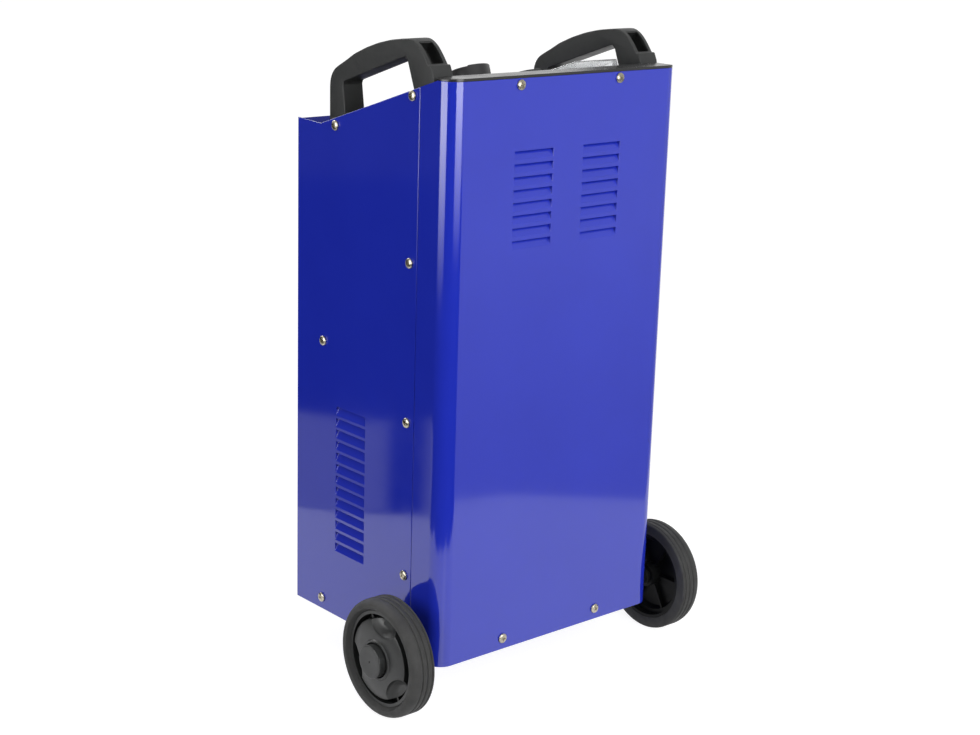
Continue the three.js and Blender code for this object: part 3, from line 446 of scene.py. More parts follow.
class Nodes:
    """A material's node tree, with a short way to add and link nodes."""

    def __init__(self, name):
        self.material = bpy.data.materials.new(name)
        self.material.use_nodes = True
        self.tree = self.material.node_tree
        self.shader = self.tree.nodes["Principled BSDF"]
        self.place = self.tree.nodes.new("ShaderNodeTexCoord").outputs["Object"]

    def set(self, **values):
        for key, value in values.items():
            self.shader.inputs[key.replace("_", " ")].default_value = value

    def add(self, kind, inputs=(), **settings):
        node = self.tree.nodes.new("ShaderNode" + kind)
        for key, value in settings.items():
            setattr(node, key, value)
        for key, value in dict(inputs).items():
            if isinstance(value, bpy.types.NodeSocket):
                self.tree.links.new(value, node.inputs[key])
            else:
                node.inputs[key].default_value = value
        return node

    def link(self, output, socket):
        """Feeds one of the shader's sockets."""
        self.tree.links.new(output, self.shader.inputs[socket])

    def noise(self, scale, detail=4, place=None):
        values = {"Vector": place or self.place, "Scale": scale, "Detail": detail}
        return self.add("TexNoise", values).outputs["Fac"]

    def spread(self, value, low, high, at=(0.3, 0.7)):
        """Turns a value between the two limits at into one from low to high."""
        values = {"Value": value, "From Min": at[0], "From Max": at[1],
                  "To Min": low, "To Max": high}
        return self.add("MapRange", values).outputs["Result"]

    def tone(self, value, dark, light):
        factor = self.spread(value, 0, 1)
        mix = self.add("Mix", {0: factor, 6: (*dark, 1), 7: (*light, 1)}, data_type="RGBA")
        self.link(mix.outputs[2], "Base Color")
        return mix.outputs[2]

    def roughness(self, value, low, high):
        self.link(self.spread(value, low, high), "Roughness")

    def relief(self, height, depth, strength):
        bump = self.add("Bump", {"Height": height, "Distance": depth, "Strength": strength})
        self.link(bump.outputs["Normal"], "Normal")


def powder_coat(name, dark, light, rough, gloss=0.5):
    coat = Nodes(name)
    coat.set(Specular_IOR_Level=gloss)
    coat.tone(coat.noise(9, 3), dark, light)
    coat.roughness(coat.noise(55, 3), *rough)
    coat.relief(coat.noise(420, 2), 0.00006, 0.08)
    return coat.material


def moulded(name, dark, light, rough, grain=900, depth=0.00004, inner=None):
    """Plastic or rubber. With inner given, its colour and sheen are painted darker nearer the
    middle than inner, in mm along X: painted shade for a wheel's shaded inner side.
    """
    plastic = Nodes(name)
    colour = plastic.tone(plastic.noise(26), dark, light)
    plastic.roughness(plastic.noise(120, 3), *rough)
    plastic.relief(plastic.noise(grain, 3), depth, 0.6)
    # Painted shade: colour and sheen are lowered towards the middle, standing in for the shade
    # inside the wheel.
    if inner:
        across = plastic.add("SeparateXYZ", {"Vector": plastic.place}).outputs[X]
        distance = plastic.add("Math", {0: across}, operation="ABSOLUTE").outputs[0]
        limits = ((inner - 0.8) / 1000, inner / 1000)
        share = plastic.spread(distance, 0.45, 1, limits)
        shade = plastic.add("VectorMath", {0: colour, "Scale": share}, operation="SCALE")
        plastic.link(shade.outputs[0], "Base Color")
        plastic.link(plastic.spread(distance, 0.1, 0.5, limits), "Specular IOR Level")
    return plastic.material


def plated(name, dark, light, rough, scale=(900, 900, 900)):
    metal = Nodes(name)
    metal.set(Metallic=1.0)
    metal.tone(metal.noise(240, 3), dark, light)
    metal.roughness(metal.noise(600, 3), *rough)
    lines = metal.add("Mapping", {"Vector": metal.place, "Scale": scale}).outputs["Vector"]
    metal.relief(metal.noise(1, 2, lines), 0.00002, 0.4)
    return metal.material


def amber_lens():
    lens = Nodes("amber_lens")
    lens.set(Roughness=0.08, Transmission_Weight=0.55, IOR=1.5)
    lens.tone(lens.noise(300, 3), (0.7, 0.20, 0.01), (0.85, 0.30, 0.02))
    return lens.material


def clear_cover():
    cover = Nodes("clear_cover")
    cover.set(Transmission_Weight=0.86, IOR=1.46)
    cover.tone(cover.noise(40, 2), (0.93, 0.95, 0.96), (0.98, 0.99, 1.0))
    cover.roughness(cover.noise(60, 3), 0.01, 0.03)
    return cover.material


def make_materials():
    return {
        "blue": powder_coat("blue_powder_coat", (0.0165, 0.032, 0.505), (0.0185, 0.036, 0.54),
                            (0.07, 0.10), 0.82),
        "panel": powder_coat("black_panel_coat", (0.018, 0.018, 0.019), (0.024, 0.024, 0.025),
                             (0.20, 0.28)),
        "grip": moulded("grip_plastic", (0.016, 0.017, 0.017), (0.023, 0.024, 0.024),
                        (0.45, 0.58)),
        # wheel_plastic carries painted shade: darker and duller nearer the middle than WHEEL_X +
        # 2.9, on the wheels' inner sides and on the feet and glands that share it.
        "wheel": moulded("wheel_plastic", (0.015, 0.016, 0.016), (0.023, 0.024, 0.024),
                         (0.34, 0.44), 500, inner=WHEEL_X + 2.9),
        "knob": moulded("knob_plastic", (0.016, 0.016, 0.017), (0.022, 0.022, 0.023),
                        (0.30, 0.40)),
        "tyre": moulded("tyre_rubber", (0.024, 0.024, 0.024), (0.036, 0.036, 0.035),
                        (0.62, 0.78), 320, 0.00012),
        "pad": moulded("pad_rubber", (0.014, 0.014, 0.014), (0.022, 0.022, 0.022),
                       (0.7, 0.85), 400, 0.0001),
        "zinc": plated("zinc_screw", (0.36, 0.33, 0.25), (0.62, 0.57, 0.46), (0.22, 0.36)),
        "steel": plated("bright_steel", (0.44, 0.45, 0.46), (0.6, 0.61, 0.62), (0.25, 0.4),
                        (40, 900, 900)),
        "core": plated("core_laminations", (0.10, 0.105, 0.11), (0.2, 0.205, 0.21), (0.4, 0.6),
                       (3, 1900, 3)),
        "copper": plated("winding_wire", (0.36, 0.12, 0.045), (0.62, 0.25, 0.1), (0.28, 0.42),
                         (2, 2, 700)),
        "aluminium": plated("plain_aluminium", (0.5, 0.51, 0.52), (0.66, 0.67, 0.68),
                            (0.3, 0.45), (800, 60, 800)),
        "dial": moulded("dial_card", (0.78, 0.78, 0.75), (0.85, 0.85, 0.82), (0.45, 0.55)),
        "ink": moulded("white_ink", (0.72, 0.72, 0.70), (0.82, 0.82, 0.80), (0.5, 0.6)),
        "scale": moulded("black_ink", (0.012, 0.012, 0.012), (0.02, 0.02, 0.02), (0.5, 0.6)),
        "needle": moulded("needle_red", (0.42, 0.015, 0.01), (0.5, 0.025, 0.015), (0.35, 0.45)),
        "lamp": amber_lens(),
        "clear": clear_cover(),
    }


LOOK = make_materials()


def fit(piece, body, slot, finish, *nodes):
    """Gives a finished piece its material and body and hides the CAD nodes it stands for. slot is
    not used.
    """
    piece.data.materials.clear()
    piece.data.materials.append(LOOK[finish])
    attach(piece, body)
    if nodes:
        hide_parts(*nodes)
    return piece


def fit_pair(part, node, ending, place, slot, finish, body="cabinet"):
    """Fits a copy of the part on each side, where place says, and removes the part itself."""
    for label, side in SIDES:
        piece = copied(part, f"{node}_{label}_{ending}", place(side))
        rides = body if body == "cabinet" else f"{body}_{label}"
        fit(piece, rides, slot, finish, f"{node}_{label}")
    remove(part)


def eased_solid(node, name, slot, finish, width, segments=2):
    """A CAD node's own shape, with its edges rounded."""
    piece = rounded(from_frame(node, name), width, segments, 50)
    return fit(softened(piece, 40), "cabinet", slot, finish, node)


# ---- Cabinet sheets ----

LOUVRE_PITCH = 12.83
LOUVRE_DEPTH = 5.0
LOUVRE_PULL = 0.2  # how far a louvre's ends lean in
COVER_REAR = SEAM - 0.15
WRAP_FRONT = SEAM + 0.6
CORNER = 18.0  # radius of the rear corners
FLANGE = 20.0  # how far the rear cover reaches behind the side covers


def louvre_rows(top, height, count):
    """The bottom and top of each louvre in a column."""
    tops = [top - i * LOUVRE_PITCH for i in range(count)]
    return [(high - height, high) for high in tops]


def pressed_louvres(piece, spans, rows, depth, normal, skin):
    """Presses louvres into a flat skin: each leans in from its lower edge to a slot at its top.

    spans are the louvres' limits along the skin, rows are (bottom, top), normal is 'x' or 'y',
    skin is the flat skin's place along the normal and depth is signed, towards the inside."""

    def swapped(a, b):
        """Turns x and y into places along and across the skin, or back."""
        return (b, a) if normal == "x" else (a, b)

    def on_skin(x, y, z):
        return near(swapped(x, y)[1], skin)

    def pressed(x, y, z):
        return near(swapped(x, y)[1], skin + depth)

    def in_louvre(middle):
        x, y, z = middle * 1000
        in_span = any(a - 0.02 < swapped(x, y)[0] < b + 0.02 for a, b in spans)
        return in_span and any(low - 0.02 < z < high + 0.02 for low, high in rows)

    def flat_louvre(face):
        middle = face.calc_center_median()
        flat = on_skin(*(middle * 1000)) and abs(getattr(face.normal, normal)) > 0.9
        return flat and in_louvre(middle)

    def slot(face):
        x, y, z = face.calc_center_median() * 1000
        level = all(any(near(v.co.z * 1000, high) for low, high in rows) for v in face.verts)
        return level and not near(swapped(x, y)[1], skin, 0.5)

    def crease(edge):
        faces = edge.link_faces
        bent = len(faces) == 2 and faces[0].normal.angle(faces[1].normal, 0) > radians(20)
        return bent and in_louvre((edge.verts[0].co + edge.verts[1].co) / 2)

    edit(piece)
    lines = [((*swapped(end, 0), 0), (*swapped(1, 0), 0)) for span in spans for end in span]
    lines += [((0, 0, end), (0, 0, 1)) for row in rows for end in row]
    for point, direction in lines:
        choose(piece, "FACE", on_skin)
        bpy.ops.mesh.bisect(plane_co=mm(*point), plane_no=direction)
    inward = mm(*swapped(0, depth), 0)
    pick(piece, "FACE", flat_louvre)
    bpy.ops.mesh.extrude_region_move(TRANSFORM_OT_translate={"value": inward})
    choose(piece, "VERT", lambda x, y, z: pressed(x, y, z)
           and any(near(z, low) for low, high in rows))
    bpy.ops.transform.translate(value=-inward)
    for index, pull in enumerate((LOUVRE_PULL, -LOUVRE_PULL)):
        ends = [span[index] for span in spans]
        choose(piece, "VERT", lambda x, y, z: pressed(x, y, z)
               and any(near(swapped(x, y)[0], end) for end in ends))
        bpy.ops.transform.translate(value=mm(*swapped(pull, 0), 0))
    pick_all()
    bpy.ops.mesh.remove_doubles(threshold=0.000005)
    pick(piece, "FACE", slot)
    bpy.ops.mesh.delete(type="FACE")
    pick(piece, "EDGE", crease)
    bpy.ops.mesh.bevel(offset=0.0004, segments=2, affect="EDGES", clamp_overlap=True)
    leave_edit()


SEAM_SCREW_Y = SEAM - 10.9
SEAM_BOTTOM = FLOOR + 86.1
SEAM_TOP = edge_height(SEAM_SCREW_Y) - 5.7
SEAM_SCREWS = [(SEAM_SCREW_Y, SEAM_BOTTOM + row * (SEAM_TOP - SEAM_BOTTOM) / 3) for row in range(4)]
FRONT_SCREW_Y = FRONT + 48
TOP_SCREW_Y = FRONT + 66.8
SIDE_SCREWS = SEAM_SCREWS + [
    (FRONT_SCREW_Y, FLOOR + 306.4), (FRONT_SCREW_Y, FLOOR + 13.6),
    (TOP_SCREW_Y, edge_height(TOP_SCREW_Y) - 7.9),
]
REAR_SCREWS = [(x, z) for z in (FLOOR + 12.8, TOP - 6.3) for x in (-67.2, 67.2)]
SCREW_HOLE = 2.5


def drilled(piece, places, radius, matrix, length):
    """Drills a hole at each of the places."""
    drill = turned("drill", [(-length, 0), (-length, radius), (length, radius), (length, 0)], 16)
    drills = [copied(drill, f"drill_{i}", moving(*place) @ matrix)
              for i, place in enumerate(places)]
    remove(drill)
    cut(piece, together("drills", *drills))


def side_covers():
    outline = [
        (FRONT, FLOOR), (COVER_REAR, FLOOR), (COVER_REAR, edge_height(COVER_REAR)),
        (VALLEY, VALLEY_TOP), (FRONT, FRONT_TOP),
    ]
    rows = louvre_rows(top=FLOOR + 239, height=9.5, count=13)
    span = (FRONT + 71.5, FRONT + 122.5)

    def outer_edge(x, y, z):
        upright = near(y, FRONT) or near(y, COVER_REAR)
        top = z > min(edge_height(y), FRONT_TOP) - 0.02
        return near(abs(x), HALF_WIDTH) and (upright or near(z, FLOOR) or top)

    for label, side in SIDES:
        skin = side * HALF_WIDTH
        cover = filled(f"side_cover_{label}_sheet", [(skin, y, z) for y, z in outline])
        shape = bmesh.from_edit_mesh(cover.data)
        shape.normal_update()
        if any(face.normal.x * side < 0 for face in shape.faces):
            bpy.ops.mesh.flip_normals()
        pressed_louvres(cover, [span], rows, -side * LOUVRE_DEPTH, "x", skin)
        modified(cover, "SOLIDIFY", thickness=SHEET / 1000, offset=-1, use_even_offset=True)
        drilled(cover, [(skin, y, z) for y, z in SIDE_SCREWS], SCREW_HOLE, TO_X, 20)
        edit(cover)
        choose(cover, "EDGE", outer_edge)
        bpy.ops.mesh.bevel(offset=0.00055, segments=3)
        leave_edit()
        weighted(softened(cover, 40))
        fit(cover, "cabinet", "blue_powder_coat", "blue", f"side_cover_{label}")


def rear_wrap():
    """The rear cover's skin: the rear, its round corners and a stepped-in flange at each side."""
    wrap = carved("rear_cover_sheet", (-HALF_WIDTH, HALF_WIDTH), (WRAP_FRONT, REAR), (FLOOR, TOP))
    edit(wrap)
    for axis, level in ((Z, TOP), (Z, FLOOR), (Y, WRAP_FRONT)):
        choose(wrap, "FACE", lambda *point: near(point[axis], level))
        bpy.ops.mesh.delete(type="FACE")
    choose(wrap, "EDGE", lambda x, y, z: near(y, REAR) and near(abs(x), HALF_WIDTH))
    bpy.ops.mesh.bevel(offset=CORNER / 1000, segments=20, affect="EDGES", clamp_overlap=False)
    for label, side in SIDES:
        choose(wrap, "EDGE", lambda x, y, z: near(y, WRAP_FRONT) and near(x, side * HALF_WIDTH))
        for step in ((-side * 1.5, -0.8, 0), (0, -FLANGE, 0)):
            bpy.ops.mesh.extrude_region_move(TRANSFORM_OT_translate={"value": mm(*step)})
    choose(wrap, "EDGE", lambda x, y, z: near(y, WRAP_FRONT) and near(abs(x), HALF_WIDTH))
    bpy.ops.mesh.bevel(offset=0.0005, segments=3, affect="EDGES")
    pick_all()
    lean = (0, -sin(TILT), cos(TILT))
    bpy.ops.mesh.bisect(plane_co=mm(0, LEDGE, TOP), plane_no=lean, clear_outer=True)
    choose(wrap, "FACE", lambda x, y, z: y < SEAM - 0.1)
    flange_top = edge_height(SEAM - FLANGE) - 25.2
    bpy.ops.mesh.bisect(plane_co=mm(0, 0, flange_top), plane_no=(0, 0, 1), clear_outer=True)
    pick_all()
    bpy.ops.mesh.normals_make_consistent(inside=False)
    leave_edit()
    if any(p.normal.y < -0.5 and near(p.center.y * 1000, REAR) for p in wrap.data.polygons):
        edit(wrap)
        pick_all()
        bpy.ops.mesh.flip_normals()
        leave_edit()
    return wrap


def rear_cover():
    wrap = rear_wrap()
    rows = louvre_rows(top=TOP - 71.2, height=8.6, count=8)
    spans = [(middle - 25.75, middle + 25.75) for middle in (-46.2, 46.2)]
    pressed_louvres(wrap, spans, rows, -LOUVRE_DEPTH, "y", REAR)
    modified(wrap, "SOLIDIFY", thickness=SHEET / 1000, offset=-1, use_even_offset=True)
    flanges = [(side * HALF_WIDTH, y, z) for label, side in SIDES for y, z in SEAM_SCREWS]
    drilled(wrap, flanges, SCREW_HOLE, TO_X, 8)
    drilled(wrap, [(x, REAR, z) for x, z in REAR_SCREWS], SCREW_HOLE, TO_Y, 8)
    drilled(wrap, [(side * HALF_WIDTH, AXLE_Y, AXLE_Z) for label, side in SIDES], BORE, TO_X, 12)
    edit(wrap)
    choose(wrap, "EDGE", lambda x, y, z: near(z, FLOOR) or (y > LEDGE and near(z, TOP)))
    bpy.ops.mesh.bevel(offset=0.0003, segments=2)
    leave_edit()
    weighted(softened(wrap, 40))
    fit(wrap, "cabinet", "blue_powder_coat", "blue", "rear_cover")


def ledge_plan(inset):
    """The ledge's outline from above, set in from the cabinet's faces."""
    side = HALF_WIDTH - inset
    rear = REAR - inset
    radius = CORNER - inset
    points = [(-side, LEDGE + 4), (side, LEDGE + 4)]
    points += arc(side - radius, rear - radius, radius, 0, 90, 12)
    points += arc(radius - side, rear - radius, radius, 90, 180, 12)
    return points


def plain_sheets():
    for node, slot, finish in (
        ("front_panel", "blue_powder_coat", "blue"),
        ("base_pan", "blue_powder_coat", "blue"),
        ("control_panel", "black_powder_coat", "panel"),
    ):
        sheet = from_frame(node, node + "_sheet")
        if node == "control_panel":
            groove = slab("ledge_groove", ledge_plan(-2), TOP + 0.1, TOP + 1.75)
            cut(groove, slab("ledge_core", ledge_plan(2.6), TOP - 1, TOP + 3))
            cut(sheet, groove)
        weighted(softened(rounded(sheet, 0.35, 2, 50), 40))
        fit(sheet, "cabinet", slot, finish, node)


# ---- Screws ----


def screws():
    profile = [(-9, 0), (-9, 2.0), (-8.5, 2.2), (0.3, 2.2), (0.3, 5.0), (0.55, 5.2), (1.3, 5.2)]
    profile += [(1.3 + 1.8 * sin(radians(a)), 5.2 * cos(radians(a))) for a in range(12, 90, 11)]
    profile += [(3.1, 0)]
    screw = turned("pan_head", profile, 28)
    long_arm = carved("arm_a", (-2.7, 2.7), (-0.5, 0.5), (1.5, 4))
    short_arm = carved("arm_b", (-0.5, 0.5), (-2.7, 2.7), (1.5, 4))
    cut(screw, long_arm, short_arm)
    softened(screw, 40)
    places = []
    for label, side in SIDES:
        outwards = TO_X if side > 0 else TO_X.inverted()
        for i, (y, z) in enumerate(SIDE_SCREWS):
            spin = 17 + 47 * i + 20 * side
            place = moving(side * HALF_WIDTH, y, z) @ outwards
            places.append((f"side_screw_{label}_{i + 1}", place, spin))
    for i, (x, z) in enumerate(REAR_SCREWS):
        places.append((f"rear_screw_{i + 1}", moving(x, REAR, z) @ TO_Y, 31 + 53 * i))
    for name, place, spin in places:
        head = copied(screw, name + "_head", place @ turning(spin, "Z"))
        fit(head, "cabinet", "zinc_screw", "zinc", name)
    remove(screw)


# ---- Hand grips ----

GRIP_X = 140.0
GRIP_UP = 12.7
GRIP_LENGTH = 178.4
GRIP_RISE = 57.8
# Shares of the length and rise: front leg, long bar, slanted rear end, back along the underside.
GRIP_SHAPE = [
    (0, 0), (0.0648, 0.6185), (0.0808, 0.7188), (0.1057, 0.8006), (0.1369, 0.8565),
    (0.1712, 0.8828), (0.2606, 0.9247), (0.3417, 0.975), (0.4635, 1), (0.5817, 0.9959),
    (0.6955, 0.9619), (0.802, 0.9024), (0.857, 0.8624), (0.8843, 0.8133), (0.9089, 0.7396),
    (0.9277, 0.6601), (0.9444, 0.556), (0.9569, 0.4656), (0.9684, 0.3654), (0.9728, 0.3271),
    (0.9936, 0.3094), (0.9965, 0.2456), (1, 0.167), (0.9985, 0.0982), (0.9978, 0), (0.8157, 0),
    (0.8074, 0.485), (0.8063, 0.525), (0.8021, 0.557), (0.7958, 0.585), (0.7876, 0.612),
    (0.2089, 0.592), (0.2019, 0.578), (0.1967, 0.562), (0.1928, 0.545), (0.1901, 0.53),
    (0.1602, 0),
]
GRIP_HALF = 12.5  # half the grip's width
REAR_FOOT = GRIP_UP + 0.971 * GRIP_LENGTH
POCKET_UP = 180.7
POCKET_RISE = 33.0
POCKET_LEAN = 22


def eased(points, sharp, reach):
    """Cuts each corner that isn't sharp, by up to reach along both its sides."""
    eased_points = []
    for i, here in enumerate(points):
        if i in sharp:
            eased_points.append(here)
            continue
        for there in (points[i - 1], points[(i + 1) % len(points)]):
            share = min(0.25, reach / dist(here, there))
            eased_points.append(tuple(a + share * (b - a) for a, b in zip(here, there)))
    return eased_points


def hand_grips():
    outline = [(GRIP_UP + a * GRIP_LENGTH, max(b * GRIP_RISE, 0.3)) for a, b in GRIP_SHAPE]
    for reach in (2.8, 1.3, 0.6):
        sharp = [i for i, (a, b) in enumerate(outline) if b < 1 or (a > REAR_FOOT and b < 20)]
        outline = eased(outline, sharp, reach)
    grip = rounded(slab("grip", outline, -GRIP_HALF, GRIP_HALF), 2.8, 5, 50)
    for x, y, z, width in (((-4, 8), (-14, 14), (-7.9, 7.9), 1.4),
                           ((-17, -2.6), (-14.5, 13), (-10, 10), 2.0)):
        pocket = rounded(carved("pocket", x, y, z), width, 3, 50)
        cut(grip, moved(pocket, moving(POCKET_UP, POCKET_RISE, 0) @ turning(POCKET_LEAN, "Z")))

    def place(side):
        return PANEL @ moving(side * GRIP_X, 0, 0) @ UPRIGHT_X

    fit_pair(softened(grip, 30), "hand_grip", "moulding", place, "black_plastic", "grip")


# ---- Wheels ----

WHEEL_HALF = 12.65  # half the tyre's width
TREAD = 62.5
SHOULDER = WHEEL_HALF + 1.8  # the tyre's outer side, which bulges a little
GROOVES = (-9.2, -3.1, 3.0)
RIM = 50.25
RIM_INSIDE = 47.0
DISH = 14.3  # the dish's middle, outwards from the wheel's middle plane
LOBES = 3
LOBE_TURN = 80
LOBE_RADIUS = 51  # from the axle to a hollow's middle
LOBE_STRETCH = (1.32, 1.08)
RIBS = 6
CAP = 17.4
CAP_FACE = 23.6  # outwards from the wheel's middle plane


def tyre():
    half = WHEEL_HALF
    profile = [(-half + 3, 50.3), (-half + 0.5, 50.4), (-half, 51.2), (-half, 60.6),
               (-half + 0.3, 61.5), (-half + 0.9, 62.2)]
    for middle in GROOVES:
        profile += [(middle + a, TREAD - deep) for a, deep in (
            (-1.5, 0.0), (-1.05, 0.25), (-0.7, 0.9), (-0.3, 1.25), (0.3, 1.25), (0.7, 0.9),
            (1.05, 0.25), (1.5, 0.0))]
    profile += [(SHOULDER - inwards, TREAD - below) for inwards, below in (
        (9.4, 0.0), (8, 0.15), (6, 0.55), (4.2, 1.2), (2.5, 2.2), (1.2, 3.3), (0.4, 4.3),
        (0, 5.3), (0, 8.3), (0.3, 9.1), (0.9, 9.6), (5.2, 11.3), (6.2, 12.2))]
    return softened(turned("tyre", profile, 96))


def bevelled(piece, width, segments, test):
    """Bevels the sharp edges whose points pass the test."""
    def sharp(edge):
        passed = all(test(*(v.co * 1000)) for v in edge.verts)
        return passed and edge.calc_face_angle(0) >= radians(28)

    edit(piece)
    pick(piece, "EDGE", sharp)
    bpy.ops.mesh.bevel(offset=width / 1000, segments=segments, affect="EDGES", clamp_overlap=True)
    pick_all()
    bpy.ops.mesh.remove_doubles(threshold=0.00001)
    leave_edit()


def rim():
    """The rim, web, ribs and three-lobed dish; +Z is outwards here."""
    half, outer, inner = WHEEL_HALF, RIM, RIM_INSIDE
    edge, lip = half - 0.7, half - 3.4
    shell = turned("rim", [
        (-half, BORE), (-half, 13), (2, 13), (2, 38.6), (-4.2, 42), (-4.2, inner), (-edge, inner),
        (-edge, outer), (lip, outer), (lip, inner), (-2.6, inner), (-2.6, 43.2), (3.4, 41.6),
        (5, 38), (5, BORE),
    ], 96)
    dome = turned("dish", [
        (3, BORE), (DISH, BORE), (DISH, 15.8), (8, 15.8), (8, 18.9), (DISH + 1.6, 18.9),
        (DISH + 1.6, 20.9), (DISH + 0.4, 21.8), (DISH + 0.2, 26), (13.8, 31), (12.9, 36),
        (11.6, 40.5), (11.0, 42.0), (2.5, 42.4),
    ], 96)
    hollow = turned("hollow", [
        (2.0, 0), (3.6, 10.0), (4.6, 13.0), (6, 15.2), (8, 17.0), (10.5, 18.9), (12.6, 20.4),
        (17, 21.2), (17, 0),
    ], 48)
    spot = moving(0, LOBE_RADIUS, 0) @ Matrix.Diagonal((*LOBE_STRETCH, 1, 1))
    hollows = [copied(hollow, f"hollow_{i}", turning(LOBE_TURN + i * 360 / LOBES, "Z") @ spot)
               for i in range(LOBES)]
    remove(hollow)
    cut(dome, *hollows)
    bevelled(dome, 1.8, 4, lambda x, y, z: z > 5.8 and hypot(x, y) > 23.5)
    ribs = [moved(carved(f"rib_{i}", (-1.25, 1.25), (12, inner + 0.6), (-3.6, 3)),
                  turning(i * 360 / RIBS, "Z")) for i in range(RIBS)]
    fused(shell, dome, *ribs)
    bevelled(shell, 0.5, 2, lambda x, y, z: hypot(x, y) < 24.6 or hypot(x, y) > 46)
    return softened(shell)


def hub_cap():
    face, ease = CAP_FACE, 1.2
    profile = [(8.3, 16.1), (8.3, CAP - 0.3), (8.7, CAP), (face - ease, CAP)]
    profile += arc(face - ease, CAP - ease, ease, 75, 0, 5)
    profile += [(face - 0.25, 12), (face - 0.4, 6), (face - 0.45, 1.3), (face - 1.1, 0.9),
                (face - 1.2, 0), (face - 2.5, 0), (face - 2.5, 14.5), (face - 4, 16.1)]
    return softened(turned("cap", profile, 72))


def at_axle(out, side):
    """A place on the axle, out from the middle, with the part's own +Z outwards."""
    flip = turning(0 if side > 0 else 180, "Z")
    return moving(side * out, AXLE_Y, AXLE_Z) @ flip @ TO_X


def wheels():
    for part, node, slot, finish in (
        (tyre(), "tyre", "tyre_rubber", "tyre"),
        (rim(), "wheel_rim", "black_plastic", "wheel"),
        (hub_cap(), "hub_cap", "black_plastic", "wheel"),
    ):
        fit_pair(part, node, "finish", lambda side: at_axle(WHEEL_X, side), slot, finish, "wheel")
    collar = softened(turned("collar", [
        (0.3, BORE), (0.3, 9.2), (0.9, 9.8), (4, 9.8), (5, 8.9), (20.7, 8.9), (21.7, 9.8),
        (24.8, 9.8), (25.4, 9.2), (25.4, BORE),
    ], 40))
    fit_pair(collar, "wheel_spacer", "collar", lambda side: at_axle(HALF_WIDTH, side),
             "black_plastic", "wheel")
    end = WHEEL_X + 14
    shaft = softened(turned("axle_shaft", [
        (-end, 0), (-end, 5.2), (-end + 0.8, 6), (end - 0.8, 6), (end, 5.2), (end, 0),
    ], 40))
    fit(moved(shaft, at_axle(0, 1)), "cabinet", "bright_steel", "steel", "axle")


# ---- Front feet ----

FOOT_X = 50.0
FOOT_Y = FRONT + 27


def feet():
    post = turned("post", [
        (7.3, 0), (7.3, 11.4), (7.9, 12), (45.0, 15), (45.6, 15.6), (45.7, 19.2), (46.3, 19.9),
        (48.1, 19.9), (48.6, 19.4), (48.6, 0),
    ], 48)
    pad = turned("pad", [
        (0, 0), (0, 12.6), (0.4, 13.4), (1.2, 13.9), (6.2, 14), (6.8, 13.5), (7, 12.8), (7, 0),
    ], 48)
    for part, node, ending, slot, finish in (
        (post, "front_foot", "post", "black_plastic", "wheel"),
        (pad, "foot_pad", "rubber", "pad_rubber", "pad"),
    ):
        fit_pair(softened(part), node, ending, lambda side: moving(side * FOOT_X, FOOT_Y, 0),
                 slot, finish)


# ---- Controls ----


def printed(name, words, size, matrix):
    """Flat lettering, 0.1 mm thick."""
    put_down()
    bpy.ops.object.text_add()
    label = bpy.context.object.data
    label.body = words
    label.size = size / 1000
    label.align_x = "CENTER"
    label.align_y = "CENTER"
    label.extrude = 0.00005
    label.resolution_u = 3
    bpy.ops.object.convert(target="MESH")
    piece = named(name)
    bpy.ops.object.transform_apply(location=True, rotation=True, scale=True)
    return moved(piece, matrix)


def bar_mark(name, length, width, matrix):
    """A printed bar, as thick as the lettering."""
    mark = carved(name, (-length / 2, length / 2), (-width / 2, width / 2), (-0.05, 0.05))
    return moved(mark, matrix)


def knob(name, skirt, grip, height):
    """A plain round knob on its shaft. The low half of its top starts at local -X."""
    piece = turned(name, [
        (-12, 0), (-12, 2.6), (-11.6, 3), (0.3, 3), (0.3, skirt - 0.5), (0.8, skirt), (3.2, skirt),
        (4.2, skirt - 0.25), (7, grip), (height - 1.6, grip), (height - 0.9, grip - 0.25),
        (height - 0.3, grip - 0.8), (height, grip - 1.6), (height, 0),
    ], 120)
    cut(piece, carved("step", (-skirt - 1, -2), (-skirt - 1, skirt + 1), (height - 1, height + 2)))
    bevelled(piece, 0.25, 2, lambda x, y, z: z > height - 1.3 and abs(x + 2) < 0.5)
    return softened(piece, 32)


KNOBS = (
    # name, x, up, skirt, grip, height, turn, first mark's and last mark's angle, marks
    ("charge_knob", 58, 136, 20.5, 19.6, 24, 139, 225, 75, range(1, 7)),
    ("timer_knob", -61, 86, 18, 16.8, 24.5, 49, 240, -60, range(0, 61, 10)),
)
INK_RISE = 0.04  # the middle of the marks, over the panel


def knobs():
    for name, x, up, skirt, grip, height, turn, first, last, marks in KNOBS:
        place = on_panel(x, up, turn)
        fit(moved(knob(name + "_cap", skirt, grip, height), place), name, "black_plastic",
            "knob", name)
        line = bar_mark(name + "_pointer", grip * 0.66, 1.5,
                        place @ moving(grip * 0.56, 0, height + 0.02))
        drop = bar_mark(name + "_pointer_side", height * 0.5, 1.5,
                        place @ moving(grip + 0.02, 0, height * 0.62) @ turning(90, "Y"))
        fit(together(name + "_pointer", line, drop), name, "black_plastic", "ink")
        ring = []
        for i, mark in enumerate(marks):
            angle = first + (last - first) * i / (len(marks) - 1)
            across, along = cos(radians(angle)), sin(radians(angle))
            tick, number = [on_panel(x + reach * across, up + reach * along, rise=INK_RISE)
                            for reach in (skirt + 3, skirt + 7.6)]
            ring.append(bar_mark(f"{name}_tick_{i}", 3, 0.8, tick @ turning(angle, "Z")))
            ring.append(printed(f"{name}_number_{i}", str(mark), 5.2, number))
        fit(together(name + "_scale", *ring), "cabinet", "black_powder_coat", "ink")


